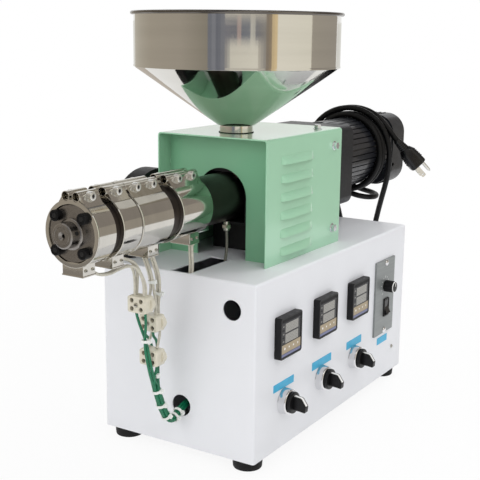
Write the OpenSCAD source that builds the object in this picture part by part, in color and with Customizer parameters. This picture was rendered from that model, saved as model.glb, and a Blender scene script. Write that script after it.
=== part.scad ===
// Desktop filament extruder: a heated screw barrel, a feed hopper and a gear motor on a control cabinet.
// X runs along the screw with the nozzle towards -X, the control panel faces -Y and Z is up.
// Places are counted from the cabinet's lower corner at the nozzle end of the control panel.

/* [Cabinet] */
// Length of the cabinet
cabinet_l = 404; // [390:1:430]
// Width of the cabinet
cabinet_w = 208; // [204:1:230]
// Height of the cabinet
cabinet_h = 204; // [195:1:230]
// Thickness of the folded sheet of the cabinet
cabinet_t = 1.5; // [1:0.1:2.5]
// Diameter of a rubber foot
foot_d = 35; // [24:1:36]
// Height of a rubber foot
foot_h = 13; // [8:0.5:20]
// Distance of a foot's centre from the cabinet's edges
foot_inset = 20; // [19:1:40]
// Diameter of the spare cable hole in the nozzle end
spare_hole_d = 23; // [10:0.5:30]
// Distance of the spare cable hole from the control panel
spare_hole_y = 30; // [22:1:45]
// Height of the spare cable hole
spare_hole_z = 172; // [150:1:178]
// Diameter of the cable hole that the heater wires enter
wire_hole_d = 25; // [20:0.5:30]
// Distance of the wire hole from the control panel
wire_hole_y = 97; // [95:1:99]
// Height of the wire hole
wire_hole_z = 49; // [46:1:52]
// Length of the slot in the cabinet's top
slot_l = 82; // [60:1:84]
// Width of the slot in the cabinet's top
slot_w = 27; // [20:1:36]
// Distance of the slot from the nozzle end
slot_x = 4; // [3:0.5:6]
// Distance of the slot's middle from the screw's line, towards the control panel
slot_aside = 3; // [0:0.5:4]

/* [Hood] */
// Distance of the hood's front edge from the nozzle end of the cabinet
hood_x = 68; // [66:1:72]
// Length of the hood
hood_l = 184; // [176:1:190]
// Width of the hood
hood_w = 149; // [140:1:150]
// Height of the hood
hood_h = 145; // [138:1:155]
// Thickness of the hood's sheet
hood_t = 1.5; // [1:0.1:2.5]
// Depth of the front panel behind the hood's front edge
hood_recess = 23; // [15:1:25]
// Depth of the rear panel inside the hood's rear edge
hood_rear_recess = 10; // [4:1:14]
// Radius of the arch around the barrel
arch_r = 34; // [33:0.5:38]
// Length of a louvre
louvre_l = 75; // [50:1:84]
// Height of a louvre
louvre_h = 9.5; // [6:0.5:12]
// Depth of a louvre's scoop
louvre_depth = 5; // [3:0.5:6]
// Spacing of the louvres
louvre_pitch = 21.1; // [18:0.1:22]
// Number of louvres on each side
louvre_count = 6; // [3:1:6]
// Distance of the louvres from the hood's front edge
louvre_x = 33; // [28:1:45]
// Distance of the first louvre's lower edge below the hood's top
louvre_drop = 30.6; // [26:0.1:32]

/* [Hopper] */
// Distance of the hopper's axis from the nozzle end of the cabinet
hopper_x = 122; // [119:1:126]
// Radius of the hopper's straight wall
hopper_r = 119.5; // [100:0.5:125]
// Height of the hopper's straight wall
hopper_band_h = 62; // [40:1:90]
// Height of the hopper's cone
hopper_cone_h = 67; // [50:1:90]
// Radius of the hopper's neck
neck_r = 19.8; // [16:0.1:24]
// Height of the neck above the hood
neck_h = 9; // [6:0.5:14]
// Thickness of the hopper's sheet
hopper_t = 1; // [0.8:0.1:2]
// Radius of the rolled rim
rim_r = 2; // [1.5:0.1:3]

/* [Barrel] */
// Height of the screw's axis above the cabinet
screw_h = 72; // [68:0.5:76]
// Radius of the barrel
barrel_r = 28.5; // [26:0.5:29]
// Radius of the barrel's bore
bore_r = 10.5; // [8:0.5:12]
// Reach of the die's face in front of the cabinet
die_reach = 168.5; // [160:0.5:180]
// Length of the die head
die_l = 26; // [20:1:28]
// Radius of the nozzle
nozzle_r = 12.5; // [10:0.5:13]
// Reach of the nozzle in front of the die's face
nozzle_reach = 13.5; // [8:0.5:20]
// Diameter of the filament hole in the nozzle
filament_hole_d = 3; // [1.5:0.05:3.5]
// Thickness of a band heater
heater_t = 3.9; // [3:0.1:4.5]
// Radius of a heater's rolled clamp ear
ear_r = 5; // [4:0.25:5.5]
// Length of a heater's terminal box
box_l = 18; // [14:1:20]
// Width of a heater's terminal box
box_w = 26; // [22:1:28]
// Depth of a terminal box below its heater
box_drop = 9; // [8.5:0.5:9.5]

/* [Drive] */
// Size of the motor's square end
motor_s = 100; // [98:1:102]
// Height of the motor's axis above the screw's axis
motor_offset = 21; // [20:0.5:23]
// Size of the square gear head
gear_s = 106; // [102:1:110]
// Depth of the gear head's middle below the motor's axis
gear_drop = 5; // [4:0.5:6]
// Length of the gear head
gear_l = 49; // [45:1:55]
// Length of the motor's finned body
motor_l = 138; // [132:1:144]
// Length of the fan cowl
cowl_l = 40; // [30:1:50]
// Height of the fan cowl's wall above the motor's end
cowl_rise = 1.5; // [1:0.5:2]
// Depth of a cooling groove
fin_depth = 5; // [4:0.5:7]
// Least spacing of the cooling fins around the motor
fin_pitch = 7.2; // [6.5:0.1:7.4]
// Width of the groove between two fins
fin_gap = 3.2; // [2.5:0.1:4]
// Length of the bearing housing behind the hood
housing_out_l = 30; // [28:1:34]

/* [Control panel] */
// Distance of the first control column from the nozzle end
column_x = 64.6; // [56:0.1:68]
// Size of a temperature controller's front
controller_s = 48; // [46:0.5:52]
// Depth of a temperature controller in front of the panel
controller_d = 8.5; // [6:0.5:12]
// Height of the temperature controllers' centres
controller_z = 134.4; // [125:0.1:140]
// Height of the selector switches' centres
selector_z = 55; // [48:0.5:60]
// Radius of a selector's bezel
selector_r = 15.5; // [14:0.5:17]
// Depth of a selector's bezel in front of the panel
selector_bezel_d = 10; // [6:0.5:12]
// Reach of a selector's handle in front of the panel
selector_reach = 30; // [28:0.5:34]
// Radius of a selector's stem
stem_r = 6; // [4:0.5:7]
// Width of the speed controller's plate
plate_w = 60; // [54:1:66]
// Height of the speed controller's plate
plate_h = 103; // [98:1:110]
// Thickness of the speed controller's plate
plate_t = 2.5; // [2:0.5:4]
// Distance of the plate's centre from the motor's end of the cabinet
plate_back = 69; // [60:1:78]
// Distance of the last control column from the plate's centre
plate_gap = 88.4; // [80:0.1:94]
// Height of the plate's centre
plate_z = 116; // [110:1:125]
// Radius of the speed knob
knob_r = 8; // [7:0.5:10]
// Length of the speed knob
knob_l = 15; // [12:0.5:18]
// Radius of the speed knob's shaft
shaft_r = 3; // [2.5:0.5:4]
// Height of the speed knob above the plate's centre
knob_up = 15; // [12:0.5:20]
// Width of the rocker switch's frame
rocker_w = 16; // [15:0.5:20]
// Height of the rocker switch's frame
rocker_h = 25; // [23:0.5:28]
// Distance of the rocker switch below the plate's centre
rocker_down = 15.5; // [14:0.5:18]
// Distance of the rocker switch behind the plate's centre
rocker_aside = 4; // [0:0.5:8]
// Tilt of the rocker at each end of its travel
rocker_tilt = 11; // [6:1:12]

/* [Blower] */
// Radius of the blower's housing
blower_r = 63; // [56:1:66]
// Thickness of the blower's housing
blower_t = 22; // [16:1:23]
// Distance of the blower's axis from the nozzle end
blower_x = 74; // [70:1:80]
// Height of the blower's axis above the cabinet
blower_h = 37.5; // [35:0.5:45]
// Radius of the blower's air inlet
inlet_r = 31.5; // [26:0.5:33]
// Radius of the blower's hub
hub_r = 17; // [12:0.5:20]

/* [Wiring] */
// Diameter of the mains cord
cord_d = 8; // [6:0.5:9]
// Diameter of the motor's lead
motor_lead_d = 6; // [5:0.5:8]
// Diameter of the temperature probe's lead
probe_d = 4; // [3:0.5:5]
// Diameter of a pair of heater leads
lead_d = 6; // [5:0.5:7]
// Diameter of the bundle of green wires
bundle_d = 9; // [8:0.5:10]
// Width of a ceramic terminal block
block_w = 24; // [20:1:28]
// Height of a ceramic terminal block
block_h = 18; // [16:1:20]
// Depth of a ceramic terminal block
block_d = 15; // [12:1:18]
// Thickness of the coil of cord around the motor
coil_t = 17; // [16:0.5:24]
// Width of the coil of cord along the motor
coil_w = 34; // [26:1:40]
// Distance of the coil's middle from the motor's end of the cabinet
coil_x = 20; // [20:1:24]

/* [Hidden] */
$fn = 48;

// Running clearance of a pin in its hole and seating gap of a curved face
run_gap = 0.05;
seat_gap = 0.3;
// Overrun of a cut past the face it goes through
cut = 1;

// Main lines of the machine
mid_y = cabinet_w / 2;
screw_z = cabinet_h + screw_h;
hood_top_z = cabinet_h + hood_h;
hood_rear_x = hood_x + hood_l;
neck_top_z = hood_top_z + neck_h;
cone_top_z = neck_top_z + hopper_cone_h;
rim_z = cone_top_z + hopper_band_h;
gear_x = hood_rear_x + housing_out_l;
motor_x = gear_x + gear_l;
cowl_x = motor_x + motor_l;
motor_end_x = cowl_x + cowl_l;
motor_z = screw_z + motor_offset;
gear_z = motor_z - gear_drop;
nozzle_tip_x = -die_reach - nozzle_reach;

// The origin is under the middle of the machine, on the surface that the feet stand on
centre_x = (nozzle_tip_x + motor_end_x) / 2;
rim_out_r = hopper_r + 2 * rim_r - hopper_t / 2;
centre_y = (mid_y + rim_out_r - selector_reach) / 2;
module placed() translate([-centre_x, -centre_y, foot_h]) children();

// Band heaters: front edge behind the die's face, and length
heater_at = [0, 38, 68.5, 137];
heater_l = [28, 30, 53, 57];
heater_x = [for (i = [0 : 3]) heater_at[i] - die_reach];
heater_r = barrel_r + seat_gap + heater_t;
// Middle of each heater's terminal box, from the heater's front edge
box_at = [9.5, 15, 42, 48.5];
box_z = screw_z - heater_r - box_drop;
box_top_z = screw_z - sqrt(pow(barrel_r, 2) - pow(box_w / 2, 2));
box_x = [for (i = [0 : 3]) heater_x[i] + box_at[i] - box_l / 2];

// Rounded bar along X between two faces, from a rounded square in Y and Z
module rounded_square(w, h, r) {
  translate([-w / 2 + r, -h / 2]) square([w - 2 * r, h]);
  translate([-w / 2, -h / 2 + r]) square([w, h - 2 * r]);
  for (x = [-1, 1], y = [-1, 1]) translate([x * (w / 2 - r), y * (h / 2 - r)]) circle(r);
}
module along_x(x, y, z, l) translate([x, y, z]) rotate([90, 0, 90]) linear_extrude(l) children();
module along_y(x, y, z, l) translate([x, y + l, z]) rotate([90, 0, 0]) linear_extrude(l) children();
module rod_x(x, y, z, r, l) translate([x, y, z]) rotate([0, 90, 0]) cylinder(r = r, h = l);
module rod_y(x, y, z, r, l) translate([x, y, z]) rotate([-90, 0, 0]) cylinder(r = r, h = l);
module block(low, high) translate(low) cube(high - low);

// Tube swept along a route of points, with flat ends
function unit(v) = v / norm(v);
function heading(p, i) = unit(p[min(i + 1, len(p) - 1)] - p[max(i - 1, 0)]);
function side_of(t, up) = unit(cross(t, up));
function ring(p, i, r, n, up) = let (t = heading(p, i), u = side_of(t, up), v = cross(u, t))
  [for (k = [0 : n - 1]) p[i] + r * (cos(360 * k / n) * u + sin(360 * k / n) * v)];
module tube(p, d, n = 8, up = [0, 1, 0]) {
  points = [for (i = [0 : len(p) - 1]) each ring(p, i, d / 2, n, up)];
  sides = [for (i = [0 : len(p) - 2], k = [0 : n - 1]) let (a = i * n + k, b = i * n + (k + 1) % n)
    each [[a, b, b + n], [a, b + n, a + n]]];
  first_end = [for (k = [0 : n - 1]) n - 1 - k];
  last_end = [for (k = [0 : n - 1]) (len(p) - 1) * n + k];
  polyhedron(points, concat(sides, [first_end, last_end]), convexity = 6);
}

// Cabinet: flat sheets that meet face to face, with the side sheets between the end sheets
plate_x = cabinet_l - plate_back;
column_pitch = (plate_x - plate_gap - column_x) / 2;
hole_seat = 0.2;
selector_flange = 4.5;
selector_neck_r = selector_r - selector_flange;
controller_lip = 1.5;
controller_body_s = controller_s - 2 * controller_lip;
plate_lip_w = 8;
plate_lip_h = 10;
speed_body_w = plate_w - 2 * plate_lip_w;
speed_body_h = plate_h - 2 * plate_lip_h;
foot_taper = 1;
module cabinet_top() placed() color("whitesmoke") difference() {
  block([cabinet_t, 0, cabinet_h - cabinet_t], [cabinet_l - cabinet_t, cabinet_w, cabinet_h]);
  block([slot_x, mid_y - slot_aside - slot_w / 2, cabinet_h - cabinet_t - cut],
    [slot_x + slot_l, mid_y - slot_aside + slot_w / 2, cabinet_h + cut]);
}
module control_panel() placed() color("whitesmoke") difference() {
  block([cabinet_t, 0, 0], [cabinet_l - cabinet_t, cabinet_t, cabinet_h - cabinet_t]);
  for (i = [0 : 2]) {
    along_y(column_x + i * column_pitch, -cut, controller_z, cabinet_t + 2 * cut)
      square(controller_body_s + 2 * hole_seat, center = true);
    rod_y(column_x + i * column_pitch, -cut, selector_z, selector_neck_r + hole_seat, cabinet_t + 2 * cut);
  }
  along_y(plate_x, -cut, plate_z, cabinet_t + 2 * cut)
    square([speed_body_w + 2 * hole_seat, speed_body_h + 2 * hole_seat], center = true);
}
module cabinet_back_panel() placed() color("whitesmoke")
  block([cabinet_t, cabinet_w - cabinet_t, 0], [cabinet_l - cabinet_t, cabinet_w, cabinet_h - cabinet_t]);
module cabinet_nozzle_end() placed() color("whitesmoke") difference() {
  block([0, 0, 0], [cabinet_t, cabinet_w, cabinet_h]);
  rod_x(-cut, spare_hole_y, spare_hole_z, spare_hole_d / 2, cabinet_t + 2 * cut);
  rod_x(-cut, wire_hole_y, wire_hole_z, wire_hole_d / 2, cabinet_t + 2 * cut);
}
module cabinet_motor_end() placed() color("whitesmoke") difference() {
  block([cabinet_l - cabinet_t, 0, 0], [cabinet_l, cabinet_w, cabinet_h]);
  rod_x(cabinet_l - cabinet_t - cut, gland_y, gland_z, gland_r + hole_seat, cabinet_t + 2 * cut);
  rod_x(cabinet_l - cabinet_t - cut, mid_y, lead_in_z, motor_lead_d / 2 + lead_gap, cabinet_t + 2 * cut);
}
module cabinet_base() placed() color("whitesmoke")
  block([cabinet_t, cabinet_t, 0], [cabinet_l - cabinet_t, cabinet_w - cabinet_t, cabinet_t]);
module rubber_feet() placed() color("black")
  for (x = [foot_inset, cabinet_l - foot_inset], y = [foot_inset, cabinet_w - foot_inset])
    translate([x, y, -foot_h]) cylinder(r1 = foot_d / 2 - foot_taper, r2 = foot_d / 2, h = foot_h);

// Hood: two louvred sides, a top and two recessed panels
hood_y = mid_y - hood_w / 2;
neck_hole_r = neck_r + seat_gap;
module hood_top() placed() color("darkseagreen") difference() {
  block([hood_x, hood_y, hood_top_z - hood_t], [hood_rear_x, hood_y + hood_w, hood_top_z]);
  translate([hopper_x, mid_y, hood_top_z - hood_t - cut]) cylinder(r = neck_hole_r, h = hood_t + 2 * cut);
}
// Edge of sheet left under a louvre's mouth
louvre_lip = 0.3;
function louvre_z(i) = hood_top_z - louvre_drop - i * louvre_pitch;
module scoop() polygon([[hood_t / 2, 0], [-louvre_depth, 0], [-louvre_depth, louvre_depth / 2],
  [0, louvre_h], [hood_t / 2, louvre_h]]);
module scoop_space() polygon([[hood_t - louvre_depth, -cut], [-louvre_lip, -cut],
  [-louvre_lip, 2 * louvre_lip], [hood_t + cut, 2 * louvre_lip], [hood_t + cut, louvre_h - 1.5 * hood_t],
  [0, louvre_h - 1.5 * hood_t], [hood_t - louvre_depth, louvre_depth / 2 - louvre_lip]]);
module louvred_side() difference() {
  union() {
    block([hood_x, hood_y, cabinet_h], [hood_rear_x, hood_y + hood_t, hood_top_z - hood_t]);
    for (i = [0 : louvre_count - 1])
      along_x(hood_x + louvre_x, hood_y, louvre_z(i), louvre_l) scoop();
  }
  for (i = [0 : louvre_count - 1])
    along_x(hood_x + louvre_x + hood_t, hood_y, louvre_z(i), louvre_l - 2 * hood_t) scoop_space();
}
module hood_near_side() placed() color("darkseagreen") louvred_side();
module hood_far_side() placed() color("darkseagreen")
  translate([0, 2 * mid_y, 0]) mirror([0, 1, 0]) louvred_side();
module hood_front_panel() placed() color("darkseagreen") difference() {
  block([hood_x + hood_recess, hood_y + hood_t, cabinet_h],
    [hood_x + hood_recess + hood_t, hood_y + hood_w - hood_t, hood_top_z - hood_t]);
  rod_x(hood_x + hood_recess - cut, mid_y, screw_z, arch_r, hood_t + 2 * cut);
  block([hood_x + hood_recess - cut, mid_y - arch_r, cabinet_h - cut],
    [hood_x + hood_recess + hood_t + cut, mid_y + arch_r, screw_z]);
}
// The bearing housing lies inside the gear head's outline
housing_inset = 10;
housing_w = gear_s - 2 * housing_inset;
housing_top_z = gear_z + gear_s / 2 - housing_inset;
rear_panel_x = hood_rear_x - hood_rear_recess - hood_t;
module hood_rear_panel() placed() color("darkseagreen") difference() {
  block([rear_panel_x, hood_y + hood_t, cabinet_h],
    [rear_panel_x + hood_t, hood_y + hood_w - hood_t, hood_top_z - hood_t]);
  block([rear_panel_x - cut, mid_y - housing_w / 2 - seat_gap, cabinet_h - cut],
    [rear_panel_x + hood_t + cut, mid_y + housing_w / 2 + seat_gap, housing_top_z + seat_gap]);
}

// Hopper: a straight band with a rolled rim on a cone whose neck stands on the feed block
feed_cover = 8;
feed_top_z = screw_z + barrel_r + feed_cover;
module hopper_band() placed() color("gainsboro") translate([hopper_x, mid_y, 0]) rotate_extrude($fn = 96) {
  translate([hopper_r - hopper_t, cone_top_z]) square([hopper_t, hopper_band_h]);
  translate([hopper_r + rim_r - hopper_t / 2, rim_z - rim_r]) circle(rim_r, $fn = 24);
}
module hopper_cone() placed() color("gainsboro") translate([hopper_x, mid_y, 0]) rotate_extrude($fn = 96)
  polygon([[neck_r - hopper_t, feed_top_z], [neck_r, feed_top_z], [neck_r, neck_top_z],
    [hopper_r, cone_top_z - hopper_t], [hopper_r, cone_top_z], [hopper_r - hopper_t, cone_top_z],
    [neck_r - hopper_t, neck_top_z + hopper_t]]);

// Barrel with its throat, die head, nozzle and band heaters
feed_gap = 3;
barrel_out = 6;
throat_step = 2;
feed_x = hood_x + hood_recess + hood_t + feed_gap;
feed_l = 2 * (hopper_x - feed_x);
barrel_end_x = feed_x + feed_l + barrel_out;
throat_r = neck_r - hopper_t - throat_step;
barrel_front_x = -die_reach + die_l;
module barrel() placed() color("dimgray") difference() {
  rod_x(barrel_front_x, mid_y, screw_z, barrel_r, barrel_end_x - barrel_front_x);
  rod_x(barrel_front_x - cut, mid_y, screw_z, bore_r, barrel_end_x - barrel_front_x + 2 * cut);
  translate([hopper_x, mid_y, screw_z]) cylinder(r = throat_r, h = barrel_r + cut);
}
// Step from the filament hole to the melt channel, also the nozzle's countersink
melt_step = 2;
melt_r = filament_hole_d / 2 + melt_step;
module die_head() placed() color("dimgray") difference() {
  rod_x(-die_reach, mid_y, screw_z, barrel_r, die_l);
  rod_x(-die_reach - cut, mid_y, screw_z, melt_r, die_l + 2 * cut);
}
nozzle_base_l = 3;
nozzle_shoulder = 3;
module nozzle() placed() color("gray") difference() {
  union() {
    rod_x(nozzle_tip_x, mid_y, screw_z, nozzle_r, nozzle_reach);
    rod_x(-die_reach - nozzle_base_l, mid_y, screw_z, nozzle_r + nozzle_shoulder, nozzle_base_l);
  }
  rod_x(nozzle_tip_x - cut, mid_y, screw_z, filament_hole_d / 2, nozzle_reach + 2 * cut);
  translate([nozzle_tip_x, mid_y, screw_z]) rotate([0, 90, 0])
    cylinder(r1 = melt_r, r2 = filament_hole_d / 2, h = melt_step);
}
// Rolled ears: sheet thickness, how far they sink into the band, and the slit between them
ear_t = 1.5;
ear_sink = 1.2;
slit_w = 2;
ear_y = ear_r + ear_t;
ear_z = sqrt(pow(heater_r + ear_r - ear_sink, 2) - pow(ear_y, 2));
module band_heater(i) placed() color("silver") difference() {
  union() {
    rod_x(heater_x[i], mid_y, screw_z, heater_r, heater_l[i]);
    for (s = [-1, 1]) rod_x(heater_x[i], mid_y + s * ear_y, screw_z + ear_z, ear_r, heater_l[i]);
    block([box_x[i], mid_y - box_w / 2, box_z], [box_x[i] + box_l, mid_y + box_w / 2, box_top_z]);
  }
  rod_x(heater_x[i] - cut, mid_y, screw_z, barrel_r + seat_gap, heater_l[i] + 2 * cut);
  block([heater_x[i] - cut, mid_y - slit_w / 2, screw_z],
    [heater_x[i] + heater_l[i] + cut, mid_y + slit_w / 2, screw_z + ear_z + ear_r + cut]);
  for (s = [-1, 1])
    rod_x(heater_x[i] - cut, mid_y + s * ear_y, screw_z + ear_z, ear_r - ear_t, heater_l[i] + 2 * cut);
}
module band_heater_1() band_heater(0);
module band_heater_2() band_heater(1);
module band_heater_3() band_heater(2);
module band_heater_4() band_heater(3);

// Feed block under the hopper, bearing housing behind it and the screw through both
feed_wall = 12;
feed_w = 2 * (barrel_r + feed_wall);
module feed_block() placed() color("dimgray") difference() {
  block([feed_x, mid_y - feed_w / 2, cabinet_h], [feed_x + feed_l, mid_y + feed_w / 2, feed_top_z]);
  rod_x(feed_x - cut, mid_y, screw_z, barrel_r + seat_gap, feed_l + 2 * cut);
  translate([hopper_x, mid_y, screw_z]) cylinder(r = throat_r, h = feed_top_z - screw_z + cut);
}
shank_step = 2;
flight_depth = 3;
housing_gap = 4;
screw_tip_gap = 6;
shank_r = bore_r + shank_step;
root_r = bore_r - flight_depth;
housing_x = barrel_end_x + housing_gap;
screw_x = barrel_front_x + screw_tip_gap;
module bearing_housing() placed() color("dimgray") difference() {
  block([housing_x, mid_y - housing_w / 2, cabinet_h], [gear_x, mid_y + housing_w / 2, housing_top_z]);
  rod_x(housing_x - cut, mid_y, screw_z, shank_r + seat_gap, gear_x - housing_x + 2 * cut);
}
module extruder_screw() placed() color("silver") {
  rod_x(screw_x, mid_y, screw_z, root_r, housing_x - screw_x);
  rod_x(housing_x, mid_y, screw_z, shank_r, gear_x - housing_x);
}

// Square gear head, round finned motor with a square end shield, and fan cowl
gear_corner_r = 12;
motor_corner_r = 26;
fin_inset = 1;
body_r = motor_s / 2 - fin_inset;
fin_count = 4 * floor(PI * body_r / 2 / fin_pitch);
shield_l = 8;
module gear_head() placed() color("dimgray")
  along_x(gear_x, mid_y, gear_z, gear_l) rounded_square(gear_s, gear_s, gear_corner_r);
module motor_body() placed() color("dimgray") {
  along_x(motor_x, mid_y, motor_z, motor_l - shield_l) difference() {
    circle(r = body_r);
    for (k = [0 : fin_count - 1]) rotate((k + 0.5) * 360 / fin_count)
      translate([body_r - fin_depth, -fin_gap / 2]) square([fin_depth + cut, fin_gap]);
  }
  along_x(cowl_x - shield_l, mid_y, motor_z, shield_l) rounded_square(motor_s, motor_s, motor_corner_r);
}
// Cowl: wall, seat on the motor's end shield, and the grille's slots
cowl_s = motor_s + 2 * cowl_rise;
cowl_t = 2.5;
cowl_seat = 1;
cowl_hollow_s = motor_s - 2 * cowl_seat;
grille_rows = 4;
grille_pitch = 8;
grille_gap = 4;
grille_margin = 12;
module fan_cowl() placed() color("dimgray") difference() {
  along_x(cowl_x, mid_y, motor_z, cowl_l) rounded_square(cowl_s, cowl_s, motor_corner_r + cowl_rise);
  along_x(cowl_x - cut, mid_y, motor_z, cowl_l - cowl_t + cut)
    rounded_square(cowl_hollow_s, cowl_hollow_s, motor_corner_r);
  for (k = [-grille_rows : grille_rows]) let (w = cowl_s - 2 * grille_margin - grille_gap * abs(k))
    block([motor_end_x - cowl_t - cut, mid_y - w / 2, motor_z + grille_pitch * k - grille_gap / 2],
      [motor_end_x + cut, mid_y + w / 2, motor_z + grille_pitch * k + grille_gap / 2]);
}

// Control panel: three temperature controllers over three selectors, and a speed controller
controller_body_l = 60;
controller_corner_r = 2;
module temperature_controller(i) placed() color("black") {
  along_y(column_x + i * column_pitch, -controller_d, controller_z, controller_d)
    rounded_square(controller_s, controller_s, controller_corner_r);
  along_y(column_x + i * column_pitch, 0, controller_z, controller_body_l)
    square(controller_body_s, center = true);
}
module temperature_controller_1() temperature_controller(0);
module temperature_controller_2() temperature_controller(1);
module temperature_controller_3() temperature_controller(2);

selector_body_l = 40;
stem_l = 16;
knob_gap = 0.6;
knob_margin = 3;
knob_disc_r = selector_r - knob_margin;
knob_disc_l = 4;
// Fin of the handle: width, edge of disc left around it, depth of its shoulders, flat at its tip
handle_w = 7;
handle_edge = 1;
handle_shoulder = 5;
handle_tip = 3;
handle_y = selector_bezel_d + knob_gap + knob_disc_l;
module selector_base(i) placed() color("silver") translate([column_x + i * column_pitch, 0, selector_z])
  difference() {
    union() {
      rod_y(0, -selector_bezel_d, 0, selector_r, selector_bezel_d);
      rod_y(0, 0, 0, selector_neck_r, selector_body_l);
    }
    rod_y(0, -selector_bezel_d - cut, 0, stem_r + run_gap, stem_l + cut);
  }
module selector_base_1() selector_base(0);
module selector_base_2() selector_base(1);
module selector_base_3() selector_base(2);
module selector_knob(i) placed() color("black") translate([column_x + i * column_pitch, 0, selector_z]) {
  rod_y(0, -selector_bezel_d - knob_gap, 0, stem_r, stem_l);
  rod_y(0, -selector_bezel_d - knob_gap - knob_disc_l, 0, knob_disc_r, knob_disc_l);
  along_x(-handle_w / 2, 0, 0, handle_w)
    polygon([[-handle_y, knob_disc_r - handle_edge],
      [-handle_y - handle_shoulder, knob_disc_r - 2 * handle_edge], [-selector_reach, handle_tip],
      [-selector_reach, -handle_tip], [-handle_y - handle_shoulder, -knob_disc_r + 2 * handle_edge],
      [-handle_y, -knob_disc_r + handle_edge]]);
}
module selector_knob_1() selector_knob(0);
module selector_knob_2() selector_knob(1);
module selector_knob_3() selector_knob(2);

knob_z = plate_z + knob_up;
rocker_x = plate_x + rocker_aside;
rocker_z = plate_z - rocker_down;
speed_body_l = 50;
knob_cap_t = 3;
shaft_l = knob_l - knob_cap_t;
// Rim of the rocker's frame around its hole
frame_lip = 1;
rocker_hole = [rocker_w - 2 * frame_lip, rocker_h - 2 * frame_lip];
module speed_plate() placed() color("gray") difference() {
  union() {
    along_y(plate_x, -plate_t, plate_z, plate_t) square([plate_w, plate_h], center = true);
    along_y(plate_x, 0, plate_z, speed_body_l) square([speed_body_w, speed_body_h], center = true);
    rod_y(plate_x, -plate_t - shaft_l, knob_z, shaft_r, shaft_l);
  }
  along_y(rocker_x, -plate_t - cut, rocker_z, rocker_body_l + plate_t + cut)
    square(rocker_hole, center = true);
}
module speed_knob() placed() color("black") difference() {
  rod_y(plate_x, -plate_t - knob_gap - knob_l, knob_z, knob_r, knob_l);
  rod_y(plate_x, -plate_t - knob_gap - shaft_l + seat_gap, knob_z, shaft_r + run_gap, shaft_l);
}

// Rocker switch: a frame through the plate with a rocker on a pin between its sides
rocker_body_l = 18;
frame_t = 1.6;
frame_proud = 2;
frame_floor = 2;
pin_r = 1.5;
pin_depth = 3.5;
pin_bite = 0.3;
pin_hole_l = 0.5;
rocker_gap = 0.5;
frame_y = -plate_t - frame_proud;
pin_y = frame_y + pin_depth;
frame_in_w = rocker_w - 2 * frame_t;
frame_in_h = rocker_h - 2 * frame_t;
rocker_r = frame_in_h / 2 - rocker_gap;
rocker_in_w = frame_in_w - 2 * rocker_gap;
module rocker_frame() placed() color("black") difference() {
  union() {
    along_y(rocker_x, frame_y, rocker_z, frame_proud) square([rocker_w, rocker_h], center = true);
    along_y(rocker_x, -plate_t, rocker_z, rocker_body_l + plate_t) square(rocker_hole, center = true);
  }
  along_y(rocker_x, frame_y - cut, rocker_z, rocker_body_l - frame_floor - frame_y + cut)
    square([frame_in_w, frame_in_h], center = true);
  rod_x(rocker_x - frame_in_w / 2 - pin_hole_l, pin_y, rocker_z, pin_r + run_gap,
    frame_in_w + 2 * pin_hole_l);
}
module rocker() placed() color("black")
  translate([rocker_x, pin_y, rocker_z]) rotate([-rocker_tilt, 0, 0]) {
    intersection() {
      rod_x(-rocker_in_w / 2, 0, 0, rocker_r, rocker_in_w);
      block([-rocker_in_w / 2, -rocker_r, -rocker_r], [rocker_in_w / 2, rocker_r / 2, rocker_r]);
      along_x(-rocker_in_w / 2, 0, 0, rocker_in_w) polygon([[rocker_r, -rocker_r], [rocker_r, rocker_r],
        [-rocker_r / 2, rocker_r], [-rocker_r / 4, 0], [-rocker_r / 2, -rocker_r]]);
    }
    rod_x(-frame_in_w / 2 - pin_bite, 0, 0, pin_r, frame_in_w + 2 * pin_bite);
  }

// Cooling blower on the far edge of the cabinet's top
blower_gap = 1;
blower_wall = 2;
inlet_depth = 12;
blower_y = mid_y + hood_w / 2 + louvre_depth + blower_gap;
blower_z = cabinet_h + blower_h;
module blower() placed() color("black") difference() {
  intersection() {
    rod_y(blower_x, blower_y, blower_z, blower_r, blower_t);
    block([blower_x - blower_r, blower_y, cabinet_h],
      [blower_x + blower_r, blower_y + blower_t, blower_z + blower_r]);
  }
  difference() {
    rod_y(blower_x, blower_y + blower_t - inlet_depth, blower_z, inlet_r, inlet_depth + cut);
    rod_y(blower_x, blower_y, blower_z, hub_r, blower_t - blower_wall);
  }
}

// Routes of the wires and the cord, chosen by hand
lead_in_z = 150;
lead_gap = 1.5;
lead_1_route = [[-151, 104, 239], [-142, 103, 236], [-132, 102, 231], [-118, 102, 229], [-102, 103, 230],
  [-86, 104, 230], [-74, 104, 226], [-67, 104, 216], [-64, 104, 204], [-64, 104, 192]];
lead_2_route = [[-53, 109, 234], [-48, 108, 224], [-43, 107, 210], [-41, 106, 196], [-41, 106, 181],
  [-42, 106, 166]];
lead_3_route = [[17, 96, 234], [16, 95, 224], [14, 93, 213], [12, 92, 203], [11, 92, 192], [12, 93, 180]];
lead_4_route = [[-52, 98, 234], [-45, 99, 222], [-37, 101, 206], [-31, 105, 190], [-28, 109, 172],
  [-28, 110, 156], [-31, 109, 142], [-37, 107, 134], [-41, 106, 127]];
green_1_route = [[-64, 104, 174], [-62, 103, 160], [-60, 102, 146], [-58, 101, 132], [-56, 100, 118],
  [-52, 100, 104], [-46, 101, 91], [-38, 103, 79]];
green_2_route = [[-42, 111, 148], [-38, 113, 140], [-31, 114, 132], [-28, 114, 120], [-28, 113, 108],
  [-31, 110, 97], [-35, 107, 87], [-37, 104, 77]];
bundle_route = [[-42, 106, 109], [-41, 105, 96], [-38, 104, 82], [-35, 102, 68], [-31, 100, 54],
  [-25, 98, 43], [-16, 97, 39], [-6, 97, 43], [4, 97, 47], [16, 97, 49]];
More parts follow.
